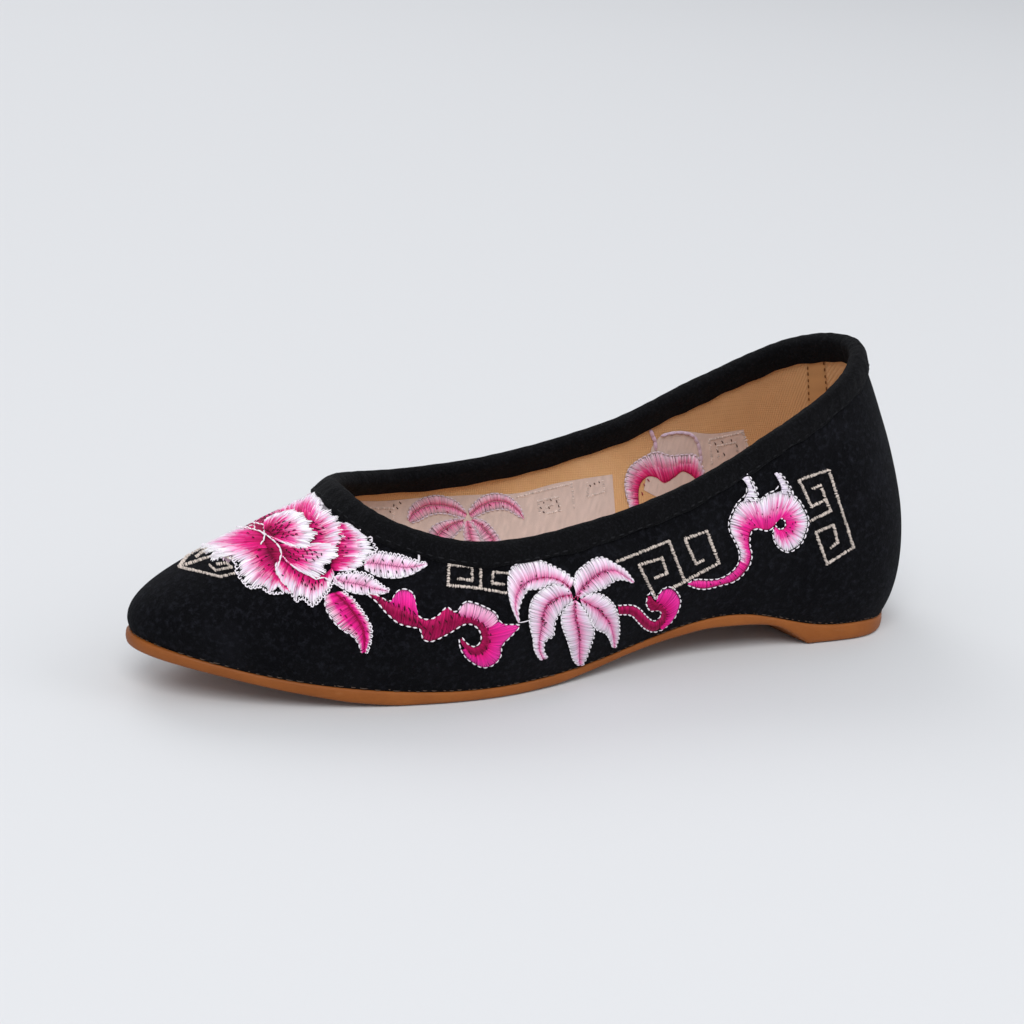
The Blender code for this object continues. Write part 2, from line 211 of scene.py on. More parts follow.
def outward(loop):
    """Level direction out of the loop at each of its points."""
    along = np.roll(loop, -1, 0) - np.roll(loop, 1, 0)
    return unit(np.stack([-along[:, 1], along[:, 0], np.zeros(len(loop))], 1))


# Soft troughs and ridges of the worn cloth.
# u and v of the middle, half sizes in u and v, turn, and depth in metres, where minus is a trough
CREASES = [
    # u      v     du    dv    turn   depth
    (8.05, 0.84, 0.62, 0.050, 0.12, -0.00030),
    (8.75, 0.78, 0.55, 0.045, -0.10, 0.00022),
    (7.10, 0.80, 0.60, 0.050, 0.05, -0.00026),
    (6.15, 0.74, 0.50, 0.060, 0.10, 0.00024),
    (9.60, 0.40, 0.45, 0.120, 0.30, -0.00030),
    (10.5, 0.22, 0.55, 0.080, 0.00, 0.00030),
    (8.60, 0.22, 0.80, 0.070, -0.10, -0.00026),
    (7.40, 0.30, 0.50, 0.090, 0.25, 0.00024),
    (3.10, 0.22, 0.45, 0.110, -0.20, -0.00040),
    (4.20, 0.35, 0.40, 0.140, 0.30, 0.00034),
    (2.10, 0.55, 0.50, 0.100, 0.15, -0.00030),
    (1.10, 0.42, 0.45, 0.120, 0.00, 0.00032),
    (0.20, 0.72, 0.40, 0.070, 0.00, -0.00036),
    (13.9, 0.80, 0.60, 0.050, -0.12, -0.00030),
    (12.6, 0.30, 0.60, 0.110, 0.20, 0.00030),
    (15.1, 0.76, 0.55, 0.055, 0.10, 0.00022),
    (17.3, 0.30, 0.50, 0.130, 0.25, -0.00034),
    (18.6, 0.24, 0.45, 0.110, -0.20, 0.00036),
    (20.1, 0.50, 0.50, 0.110, 0.10, -0.00030),
    (21.2, 0.35, 0.45, 0.110, 0.00, 0.00028),
    (0.00, 0.45, 0.07, 0.600, 0.00, -0.00035),  # the back seam
]


def crease(u, v):
    """How far the worn cloth stands out of the smooth last."""
    total = np.zeros(np.broadcast(u, v).shape)
    for cu, cv, du, dv, turn, depth in CREASES:
        across = (u - cu + SPANS / 2) % SPANS - SPANS / 2
        up = v - cv - turn * across * 0.2
        total += depth * np.exp(-((across / du) ** 2) - (up / dv) ** 2)
    return total


class Last:
    """The outer face of the upper as a fine grid, read at any u (0 to SPANS) and v (0 sole, 1 collar)."""

    def __init__(self):
        rows = periodic_spline(rib_rows(), STEPS)
        self.count = len(rows)
        rows[:, 0] -= HEEL_LENGTH / 2
        rows[:, 3] -= HEEL_LENGTH / 2
        self.foot, self.top = rows[:, 0:3], rows[:, 3:6]
        flare, rise, lean, drop = rows[:, 6:].T
        up = np.array([0.0, 0.0, 1.0])
        near_foot = self.foot + outward(self.foot) * flare[:, None] + up * rise[:, None]
        near_top = self.top + outward(self.top) * lean[:, None] - up * drop[:, None]
        v = np.linspace(0, 1, FINE + 1)[None, :, None]
        self.points = (
            (1 - v) ** 3 * self.foot[:, None] + 3 * (1 - v) ** 2 * v * near_foot[:, None]
            + 3 * (1 - v) * v**2 * near_top[:, None] + v**3 * self.top[:, None]
        )
        self.normals = self.normals_of(self.points)
        u = (np.arange(self.count) / STEPS)[:, None]
        self.points = self.points + self.normals * crease(u, v[..., 0])[..., None]
        self.normals = self.normals_of(self.points)
        steps = np.linalg.norm(np.diff(self.points, axis=1), axis=2)
        self.lengths = np.concatenate([np.zeros((self.count, 1)), np.cumsum(steps, 1)], 1)

    @staticmethod
    def normals_of(points):
        along = np.roll(points, -1, 0) - np.roll(points, 1, 0)
        return unit(np.cross(np.gradient(points, axis=1), along))

    def read(self, grid, u, v):
        """Values of a grid over the ribs, read between its points."""
        a = (np.asarray(u, float) * STEPS) % self.count
        b = np.clip(np.asarray(v, float), 0, 1) * FINE
        i, j = a.astype(int) % self.count, np.minimum(b.astype(int), FINE - 1)
        f, g = (a - np.floor(a))[..., None], (b - j)[..., None]
        k = (i + 1) % self.count
        return (
            grid[i, j] * (1 - f) * (1 - g) + grid[k, j] * f * (1 - g)
            + grid[i, j + 1] * (1 - f) * g + grid[k, j + 1] * f * g
        )

    def at(self, u, v, lift=0.0, inside=False):
        """Points and normals on the cloth's outer face, or on the lining's, lifted off it."""
        normal = unit(self.read(self.normals, u, v))
        offset = (-WALL - np.asarray(lift)) if inside else np.asarray(lift)
        point = self.read(self.points, u, v) + normal * (offset[..., None] if np.ndim(offset) else offset)
        return point, (-normal if inside else normal)

    def v_below_collar(self, u, depth):
        """v on each rib at a depth below the collar edge, along the cloth."""
        found = []
        for index, at_u in enumerate(u):
            rib = self.lengths[int(round(at_u * STEPS)) % self.count]
            deep = depth[index] if np.ndim(depth) else depth
            found.append(np.interp(rib[-1] - deep, rib, np.linspace(0, 1, FINE + 1)))
        return np.array(found)


last = Last()

# The photograph's camera
PIXELS = 1024
CAMERA_TURN, CAMERA_UP, CAMERA_ROLL = np.radians([24.95, 18.34, 2.68])
CAMERA_DISTANCE = 0.650
FOCAL_PIXELS = 2266.6
AIM = np.array([0.12175 - HEEL_LENGTH / 2, 0.0, 0.03976])


def camera_axes():
    """Directions of the camera's right, up and forward."""
    heelward, away, up = np.array([-1.0, 0, 0]), np.array([0, -1.0, 0]), np.array([0, 0, 1.0])
    level = away * np.cos(CAMERA_TURN) + heelward * np.sin(CAMERA_TURN)
    right = heelward * np.cos(CAMERA_TURN) - away * np.sin(CAMERA_TURN)
    forward = level * np.cos(CAMERA_UP) - up * np.sin(CAMERA_UP)
    above = np.cross(right, forward)
    c, s = np.cos(CAMERA_ROLL), np.sin(CAMERA_ROLL)
    return right * c + above * s, above * c - right * s, forward


RIGHT, ABOVE, FORWARD = camera_axes()
EYE = AIM - FORWARD * CAMERA_DISTANCE


def to_pixels(points):
    """Where the points land in the photograph."""
    d = points - EYE
    depth = d @ FORWARD
    half = PIXELS / 2
    across, up = FOCAL_PIXELS * (d @ RIGHT) / depth, FOCAL_PIXELS * (d @ ABOVE) / depth
    return np.stack([half + across, half - up], -1)


class Chart:
    """Finds the place on the shoe, as u and v, of a point of the photograph."""

    def __init__(self, inside, low_u, high_u):
        self.inside = inside
        u, v = np.meshgrid(np.arange(low_u, high_u, 1 / STEPS), np.linspace(0.0, 1.0, 97), indexing="ij")
        points, normals = last.at(u, v, 0.0, inside)
        facing = ((EYE - points) * normals).sum(-1) > 0
        self.uv = np.stack([u[facing], v[facing]], 1)
        self.pixels = to_pixels(points[facing])

    def place(self, uv):
        """Where places on the cloth land in the photograph."""
        return to_pixels(last.at(uv[:, 0], uv[:, 1], 0.0, self.inside)[0])

    def find(self, pixels):
        """The nearest seen point of the coarse grid, mended by a few steps of Newton's method."""
        pixels = np.asarray(pixels, float)
        uv = np.empty_like(pixels)
        for start in range(0, len(pixels), 200):
            some = pixels[start:start + 200]
            away = ((some[:, None] - self.pixels[None]) ** 2).sum(-1)
            uv[start:start + 200] = self.uv[away.argmin(1)]
        du, dv = 0.02, 0.01
        best, best_error = uv.copy(), np.full(len(uv), np.inf)
        for _ in range(5):
            here = self.place(uv)
            error = np.linalg.norm(pixels - here, axis=1)
            better = error < best_error
            best[better], best_error[better] = uv[better], error[better]
            by_u = (self.place(uv + [du, 0]) - here) / du
            by_v = (self.place(uv + [0, -dv]) - here) / -dv
            miss = pixels - here
            area = by_u[:, 0] * by_v[:, 1] - by_u[:, 1] * by_v[:, 0]
            area = np.where(np.abs(area) < 1e-6, 1e-6, area)
            move_u = (miss[:, 0] * by_v[:, 1] - miss[:, 1] * by_v[:, 0]) / area
            move_v = (by_u[:, 0] * miss[:, 1] - by_u[:, 1] * miss[:, 0]) / area
            uv = uv + np.stack([np.clip(move_u, -0.05, 0.05), np.clip(move_v, -0.02, 0.02)], 1)
            uv[:, 1] = np.clip(uv[:, 1], 0, 1)
        return best


outer_chart = Chart(inside=False, low_u=-0.8, high_u=12.4)


# Meshes
def new_piece(name, vertices, faces, materials, colours=None, uvs=None, slots=None, smooth=True):
    """A mesh from arrays; all its faces have the same number of corners."""
    mesh = bpy.data.meshes.new(name)
    vertices, faces = np.asarray(vertices, np.float32), np.asarray(faces, np.int32)
    corners = faces.shape[1]
    mesh.vertices.add(len(vertices))
    mesh.vertices.foreach_set("co", vertices.ravel())
    mesh.loops.add(faces.size)
    mesh.loops.foreach_set("vertex_index", faces.ravel())
    mesh.polygons.add(len(faces))
    mesh.polygons.foreach_set("loop_start", np.arange(0, faces.size, corners, dtype=np.int32))
    for material in materials:
        mesh.materials.append(material)
    if slots is not None:
        mesh.polygons.foreach_set("material_index", np.asarray(slots, np.int32))
    mesh.update(calc_edges=True)
    if smooth:
        mesh.shade_smooth()
    if colours is not None:
        data = np.ones((len(vertices), 4), np.float32)
        data[:, :3] = colours
        mesh.attributes.new("thread", "FLOAT_COLOR", "POINT").data.foreach_set("color", data.ravel())
    if uvs is not None:
        layer = mesh.uv_layers.new(name="OFBake")
        layer.data.foreach_set("uv", np.asarray(uvs, np.float32)[faces.ravel()].ravel())
    obj = bpy.data.objects.new(name, mesh)
    bpy.context.scene.collection.objects.link(obj)
    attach(obj, "root")
    return obj


def grid_faces(rows, columns, wrap_rows=False, wrap_columns=False, flip=False, first=0):
    """The four corners of each face of a grid of points."""
    i, j = np.meshgrid(np.arange(rows if wrap_rows else rows - 1),
                       np.arange(columns if wrap_columns else columns - 1), indexing="ij")
    i, j = i.ravel(), j.ravel()
    k, m = (i + 1) % rows, (j + 1) % columns
    quads = np.stack([i * columns + j, k * columns + j, k * columns + m, i * columns + m], 1)
    return first + (quads[:, ::-1] if flip else quads)


# Materials
def linear(r, g, b):
    """Linear colour from screen values 0 to 255."""
    c = np.array([r, g, b], float) / 255
    return np.where(c <= 0.04045, c / 12.92, ((c + 0.055) / 1.055) ** 2.4)


class Nodes:
    """A material with one shader, and short ways to add what drives it."""

    def __init__(self, name, colour, roughness, **sockets):
        self.material = bpy.data.materials.new(name)
        self.material.use_nodes = True
        self.tree = self.material.node_tree
        self.shader = self.tree.nodes["Principled BSDF"]
        self.set("Base Color", (*colour, 1))
        self.set("Roughness", roughness)
        for socket, value in sockets.items():
            self.set(socket.replace("_", " "), value)
        self.coordinates = self.add("ShaderNodeTexCoord").outputs["Object"]

    def set(self, socket, value):
        self.shader.inputs[socket].default_value = value

    def add(self, kind, **properties):
        node = self.tree.nodes.new(kind)
        for name, value in properties.items():
            setattr(node, name, value)
        return node

    def link(self, output, target):
        self.tree.links.new(output, target)

    def noise(self, scale, detail=3.0, rough=0.55, stretch=None, distortion=0.0):
        node = self.add("ShaderNodeTexNoise")
        node.inputs["Scale"].default_value = scale
        node.inputs["Detail"].default_value = detail
        node.inputs["Roughness"].default_value = rough
        node.inputs["Distortion"].default_value = distortion
        source = self.coordinates
        if stretch:
            mapping = self.add("ShaderNodeMapping")
            mapping.inputs["Scale"].default_value = stretch
            self.link(source, mapping.inputs["Vector"])
            source = mapping.outputs["Vector"]
        self.link(source, node.inputs["Vector"])
        return node.outputs["Fac"]

    def wave(self, scale, turn=(0, 0, 0), distortion=0.0, detail=1.0, direction="X"):
        mapping = self.add("ShaderNodeMapping")
        mapping.inputs["Rotation"].default_value = turn
        self.link(self.coordinates, mapping.inputs["Vector"])
        node = self.add("ShaderNodeTexWave", bands_direction=direction)
        node.inputs["Scale"].default_value = scale
        node.inputs["Distortion"].default_value = distortion
        node.inputs["Detail"].default_value = detail
        self.link(mapping.outputs["Vector"], node.inputs["Vector"])
        return node.outputs["Fac"]

    def ramp(self, source, stops):
        node = self.add("ShaderNodeValToRGB")
        elements = node.color_ramp.elements
        while len(elements) < len(stops):
            elements.new(0.5)
        for element, (position, colour) in zip(elements, stops):
            element.position = position
            element.color = (*colour, 1)
        self.link(source, node.inputs["Fac"])
        return node.outputs["Color"]

    def mix(self, first, second, share, blend="MIX"):
        node = self.add("ShaderNodeMix", data_type="RGBA", blend_type=blend)
        inputs = [s for s in node.inputs if s.type == "RGBA"]
        factor = [s for s in node.inputs if s.type == "VALUE"][0]
        for socket, value in zip(inputs, (first, second)):
            if isinstance(value, bpy.types.NodeSocket):
                self.link(value, socket)
            else:
                socket.default_value = (*value, 1)
        if isinstance(share, bpy.types.NodeSocket):
            self.link(share, factor)
        else:
            factor.default_value = share
        return [s for s in node.outputs if s.type == "RGBA"][0]

    def math(self, operation, first, second=0.0):
        node = self.add("ShaderNodeMath", operation=operation)
        for socket, value in zip(node.inputs, (first, second)):
            if isinstance(value, bpy.types.NodeSocket):
                self.link(value, socket)
            else:
                socket.default_value = value
        return node.outputs["Value"]

    def bump(self, heights):
        """heights are (source, distance in metres); each is laid over the one before."""
        normal = None
        for source, distance in heights:
            node = self.add("ShaderNodeBump")
            node.inputs["Distance"].default_value = distance
            node.inputs["Strength"].default_value = 1.0
            self.link(source, node.inputs["Height"])
            if normal:
                self.link(normal, node.inputs["Normal"])
            normal = node.outputs["Normal"]
        self.link(normal, self.shader.inputs["Normal"])

    def colour(self, output):
        self.link(output, self.shader.inputs["Base Color"])

    def roughness(self, output):
        self.link(output, self.shader.inputs["Roughness"])


def black_cloth():
    m = Nodes("black_cloth", linear(9, 9, 12), 0.95, Specular_IOR_Level=0.06,
              Sheen_Weight=0.025, Sheen_Roughness=0.5, Sheen_Tint=(0.66, 0.70, 0.80, 1))
    blotch = m.noise(60, detail=5, rough=0.65)
    nap = m.noise(620, detail=5, rough=0.75)
    fibre = m.noise(2600, detail=2, rough=0.6)
    tone = m.ramp(blotch, [(0.32, linear(5, 5, 8)), (0.55, linear(9, 9, 12)), (0.75, linear(19, 19, 24))])
    speck = m.ramp(nap, [(0.50, (0, 0, 0)), (0.74, (1, 1, 1))])
    m.colour(m.mix(tone, linear(46, 47, 55), m.math("MULTIPLY", speck, 0.50)))
    m.bump([(blotch, 0.0005), (nap, 0.0008), (fibre, 0.00018)])
    return m.material


def black_binding():
    m = Nodes("black_binding", linear(9, 9, 11), 0.92, Specular_IOR_Level=0.08,
              Sheen_Weight=0.03, Sheen_Roughness=0.45, Sheen_Tint=(0.68, 0.70, 0.76, 1))
    blotch = m.noise(130, detail=4, rough=0.6)
    fuzz = m.noise(1300, detail=4, rough=0.75)
    tone = m.ramp(blotch, [(0.30, linear(5, 5, 7)), (0.60, linear(9, 9, 11)), (0.82, linear(17, 17, 20))])
    speck = m.ramp(fuzz, [(0.50, (0, 0, 0)), (0.74, (1, 1, 1))])
    m.colour(m.mix(tone, linear(42, 42, 48), m.math("MULTIPLY", speck, 0.45)))
    m.bump([(blotch, 0.0009), (fuzz, 0.0006)])
    return m.material


def tan_lining():
    m = Nodes("tan_lining", linear(190, 142, 96), 0.85, Specular_IOR_Level=0.2, Sheen_Weight=0.05)
    blotch = m.noise(28, detail=4, rough=0.6)
    fine = m.noise(700, rough=0.7)
    rib = m.wave(460, distortion=0.6)
    cross = m.wave(420, distortion=0.8, direction="Z")
    tone = m.ramp(blotch, [
        (0.28, linear(198, 150, 104)), (0.52, linear(218, 170, 120)), (0.80, linear(232, 190, 144)),
    ])
    tone = m.mix(tone, linear(150, 102, 62), m.math("MULTIPLY", rib, 0.09))
    m.colour(m.mix(tone, linear(226, 190, 148), m.math("MULTIPLY", fine, 0.25)))
    m.bump([(rib, 0.00010), (cross, 0.00003), (fine, 0.00008)])
    return m.material


def tan_rubber():
    m = Nodes("tan_rubber", linear(144, 82, 34), 0.5, Specular_IOR_Level=0.22)
    cloud = m.noise(22, detail=4, rough=0.6)
    speck = m.noise(800, rough=0.65)
    scuff = m.noise(140, detail=5, rough=0.7, stretch=(1, 1, 5))
    tone = m.ramp(cloud, [
        (0.30, linear(128, 70, 26)), (0.52, linear(148, 84, 34)), (0.78, linear(172, 104, 46)),
    ])
    worn = m.ramp(scuff, [(0.60, (0, 0, 0)), (0.74, (1, 1, 1))])
    tone = m.mix(tone, linear(182, 132, 88), m.math("MULTIPLY", worn, 0.18))
    m.colour(m.mix(tone, linear(96, 50, 20), m.math("MULTIPLY", speck, 0.30)))
    m.roughness(m.math("ADD", m.math("MULTIPLY", scuff, 0.35), 0.33))
    # a fine tread across the underside only
    facing = m.add("ShaderNodeSeparateXYZ")
    m.link(m.add("ShaderNodeNewGeometry").outputs["Normal"], facing.inputs["Vector"])
    under = m.math("LESS_THAN", facing.outputs["Z"], -0.7)
    tread = m.math("MULTIPLY", m.wave(200, detail=0.0), under)
    m.bump([(scuff, 0.00015), (speck, 0.00008), (tread, 0.0005)])
    return m.material


def thread_material(name, roughness, gloss):
    m = Nodes(name, (0.8, 0.8, 0.8), roughness, Specular_IOR_Level=gloss)
    colour = m.add("ShaderNodeAttribute", attribute_name="thread").outputs["Color"]
    fine = m.noise(2400, detail=2, rough=0.6)
    m.colour(m.mix(colour, m.mix(colour, (0, 0, 0), 0.5), m.math("MULTIPLY", fine, 0.22)))
    m.bump([(fine, 0.00006)])
    return m.material


CLOTH = black_cloth()
TAPE = black_binding()
LINING = tan_lining()
RUBBER = tan_rubber()
SILK = thread_material("rayon_thread", 0.50, 0.14)
COTTON = thread_material("cotton_thread", 0.80, 0.20)


# Upper, binding, sole and footbed
def build_upper():
    """The black cloth outside and the tan lining inside, both a little past the collar and the sole."""
    rows, columns = 352, 61
    u = np.arange(rows) * SPANS / rows
    v = np.linspace(0, 1, columns)
    uu, vv = np.meshgrid(u, v, indexing="ij")
    outer, _ = last.at(uu, vv, 0.0)
    under, _ = last.at(uu, vv, -PLY)
    faces = grid_faces(rows, columns, wrap_rows=True)
    both = np.concatenate([outer.reshape(-1, 3), under.reshape(-1, 3)])
    back = grid_faces(rows, columns, wrap_rows=True, flip=True, first=rows * columns)
    i = np.arange(rows)
    k = (i + 1) % rows
    count = rows * columns
    low = np.stack([i * columns, i * columns + count, k * columns + count, k * columns], 1)
    high = np.stack([i * columns, k * columns, k * columns + count, i * columns + count], 1) + columns - 1
    cloth = new_piece("upper_cloth", both, np.concatenate([faces, back, low, high]), [CLOTH])
    inner, _ = last.at(uu, vv, 0.0, inside=True)
    behind, _ = last.at(uu, vv, -PLY, inside=True)
    both = np.concatenate([inner.reshape(-1, 3), behind.reshape(-1, 3)])
    lining = new_piece("upper_lining", both, np.concatenate([
        grid_faces(rows, columns, wrap_rows=True, flip=True),
        grid_faces(rows, columns, wrap_rows=True, first=count),
        low[:, ::-1], high[:, ::-1],
    ]), [LINING])
    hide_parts("upper")
    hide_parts("upper")


def build_binding():
    """The folded tape, fuller in the middle of its width, with small puckers along it."""
    ribs = 704
    u = np.arange(ribs) * SPANS / ribs
    phase = u * 2 * np.pi / SPANS
    pucker = (0.00010 * np.sin(61 * phase) + 0.00008 * np.sin(97 * phase + 1.3)
              + 0.00010 * np.sin(23 * phase + 0.6))
    width = 0.00025 * np.sin(17 * phase) + 0.00018 * np.sin(41 * phase + 2.0)
    loops = []
    for share, lift in TAPE_OUTSIDE:
        v = last.v_below_collar(u, BINDING_OUTSIDE * share + width * (share > 0.7))
        point, _ = last.at(u, v, lift + pucker * np.sin(np.pi * min(share, 0.95)))
        loops.append(point)
    # over the edge in five steps
    end, end_normal = last.at(u, np.ones(ribs))
    before, _ = last.at(u, np.full(ribs, 0.985))
    along = unit(end - before)
    middle = end - end_normal * WALL / 2
    reach, height = WALL / 2 + 0.00135, 0.00128
    for angle in np.radians([20, 50, 80, 100, 130, 160]):
        loops.append(middle + end_normal * (np.cos(angle) * reach)
                     + along * (np.sin(angle) * height + pucker * 0.5)[:, None])
    for share, lift in TAPE_INSIDE:
        v = last.v_below_collar(u, BINDING_INSIDE * share + width * (share > 0.7))
        point, _ = last.at(u, v, lift + pucker * 0.7 * np.sin(np.pi * min(share, 0.95)), inside=True)
        loops.append(point)
    loops = np.array(loops)
    faces = grid_faces(len(loops), ribs, wrap_rows=True, wrap_columns=True)
    tape = new_piece("binding_tape", loops.reshape(-1, 3), faces[:, ::-1], [TAPE])
    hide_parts("collar_binding")


def ladder(loop, across, shape):
    """Rungs from each point of the loop's outer side to the one opposite, shaped on the way."""
    ribs = len(loop)
    stations = ribs // 2
    start, end = loop[1:stations], loop[:stations:-1]
    share = np.asarray(across)[None, :, None]
    inner = start[:, None] + (end - start)[:, None] * share
    inner = shape(inner, share[..., 0])
    index = np.empty((stations - 1, len(across) + 2), int)
    index[:, 0] = np.arange(1, stations)
    index[:, -1] = np.arange(ribs - 1, stations, -1)
    index[:, 1:-1] = ribs + np.arange(inner.shape[0] * inner.shape[1]).reshape(inner.shape[:2])
    quads = np.stack([index[:-1, :-1], index[:-1, 1:], index[1:, 1:], index[1:, :-1]], -1).reshape(-1, 4)
    heel = np.stack([np.zeros(index.shape[1] - 1, int), index[0, 1:], index[0, :-1]], 1)
    toe = np.stack([np.full(index.shape[1] - 1, stations), index[-1, :-1], index[-1, 1:]], 1)
    return inner.reshape(-1, 3), quads, np.concatenate([heel, toe])


def all_triangles(quads, tris):
    """Each quad cut in two, with the triangles after them."""
    return np.concatenate([quads[:, [0, 1, 2]], quads[:, [0, 2, 3]], tris])


def renumber(index, ribs, loop_first, inner_first):
    """A ladder's own numbers, loop first and inner points after it, as numbers in the whole piece."""
    return np.where(index < ribs, index + loop_first, index - ribs + inner_first)


def bowed(points, share):
    moved = points.copy()
    x = moved[..., 0] + HEEL_LENGTH / 2
    bow = smooth_step(x, 0.0, HEEL_LENGTH) * smooth_step(x, BOW_FADES_SHARE * HEEL_LENGTH, HEEL_LENGTH)
    moved[..., 0] += BREAST_BOW * bow * (1 - (2 * share - 1) ** 2)
    return moved


def build_outsole():
    loop = last.foot.copy()
    ribs = len(loop)
    x = loop[:, 0] + HEEL_LENGTH / 2
    out = outward(loop)
    ledge = SOLE_LEDGE + (TOE_LEDGE - SOLE_LEDGE) * smooth_step(x, 0.9 * LENGTH, LENGTH)
    low = underside_z(x)
    top = loop[:, 2] - GAP + 0.00025
    rows = []
    for share, inset in SOLE_SIDE:
        row = loop + out * (ledge - inset)[:, None]
        row[:, 2] = low + (top - low) * share
        rows.append(row)
    rows = np.array(rows)
    side = grid_faces(len(rows), ribs, wrap_columns=True)
    base = len(rows) * ribs
    across = np.linspace(0, 1, 22)[1:-1]
    under, under_quads, under_tris = ladder(rows[-1], across, bowed)
    top_inner, top_quads, top_tris = ladder(rows[0], (0.2, 0.4, 0.6, 0.8), lambda p, s: p)

    last_row = (len(rows) - 1) * ribs
    under_faces = renumber(all_triangles(under_quads, under_tris), ribs, last_row, base)
    top_faces = renumber(all_triangles(top_quads, top_tris), ribs, 0, base + len(under))
    tris = np.concatenate([side[:, [0, 1, 2]], side[:, [0, 2, 3]], under_faces[:, ::-1], top_faces])
    sole = new_piece("sole_unit", np.concatenate([rows.reshape(-1, 3), under, top_inner]), tris, [RUBBER])
    sole.data.set_sharp_from_angle(angle=np.radians(50))
    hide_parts("outsole")


def build_footbed():
    u = np.arange(0, SPANS, 1 / 8)
    ribs = len(u)
    foot, _ = last.at(u, np.zeros(ribs))
    seat = SOLE_EDGE + FOOTBED + HEEL_WEDGE * smooth_step(
        foot[:, 0] + HEEL_LENGTH / 2, WEDGE_ENDS_SHARE * LENGTH, WEDGE_FULL_SHARE * LENGTH)
    thickness = np.maximum(FOOTBED, seat - foot[:, 2])
    fine = np.linspace(0, 1, FINE + 1)
    rows = []
    for share, inset in BED_SIDE:
        v = np.array([
            np.interp(z + t * share, last.points[int(a * STEPS) % last.count, :, 2], fine)
            for a, z, t in zip(u, foot[:, 2], thickness)])
        rows.append(last.at(u, v, inset, inside=True)[0])
    rows[0][:, 2] = foot[:, 2]
    rows = np.array(rows)
    side = grid_faces(len(rows), ribs, wrap_columns=True)
    across = np.linspace(0, 1, 14)[1:-1]

    def dished(points, share):
        moved = points.copy()
        moved[..., 2] -= FOOTBED_DISH * np.sin(np.pi * share)
        return moved

    under, under_quads, under_tris = ladder(rows[0], across, lambda p, s: p)
    top, top_quads, top_tris = ladder(rows[-1], across, dished)
    base = len(rows) * ribs

    tris = np.concatenate([
        side[:, [0, 2, 1]], side[:, [0, 3, 2]],
        renumber(all_triangles(under_quads, under_tris), ribs, 0, base)[:, ::-1],
        renumber(all_triangles(top_quads, top_tris), ribs, (len(rows) - 1) * ribs, base + len(under)),
    ])
    bed = new_piece("sock_lining", np.concatenate([rows.reshape(-1, 3), under, top]), tris, [LINING])
    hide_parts("footbed")


build_upper()
build_binding()
build_outsole()
build_footbed()


# Embroidery
WHITE, LAVENDER = linear(250, 243, 250), linear(234, 220, 240)
BLUSH, PALE, PINK = linear(246, 208, 230), linear(244, 168, 208), linear(238, 84, 168)
HOT, MAGENTA = linear(226, 20, 122), linear(236, 34, 152)
CRIMSON, WINE, DARK = linear(168, 6, 76), linear(116, 4, 50), linear(26, 6, 14)
CREAM = linear(224, 210, 200)
BACKING = linear(216, 196, 188)
THREAD = 0.00043         # width of a stitch
LAYER = 0.00022          # height of one layer of stitches
EDGE = 0.0003            # room that a fill leaves for the line round it
BETWEEN = 12             # fine rungs for each one drawn
BEND = np.linspace(0, 1, 5)


def picture(left, top, scale):
    """Turns points read off an enlarged crop of the photograph into its own pixels."""
    return lambda points: np.array([left, top]) + np.asarray(points, float) / scale


FULL = picture(0, 0, 1)
VAMP = picture(130, 480, 1500 / 310)
SCROLL = picture(360, 540, 7.5)
LILY = picture(495, 545, 1500 / 205)
HEEL = picture(680, 460, 1500 / 190)


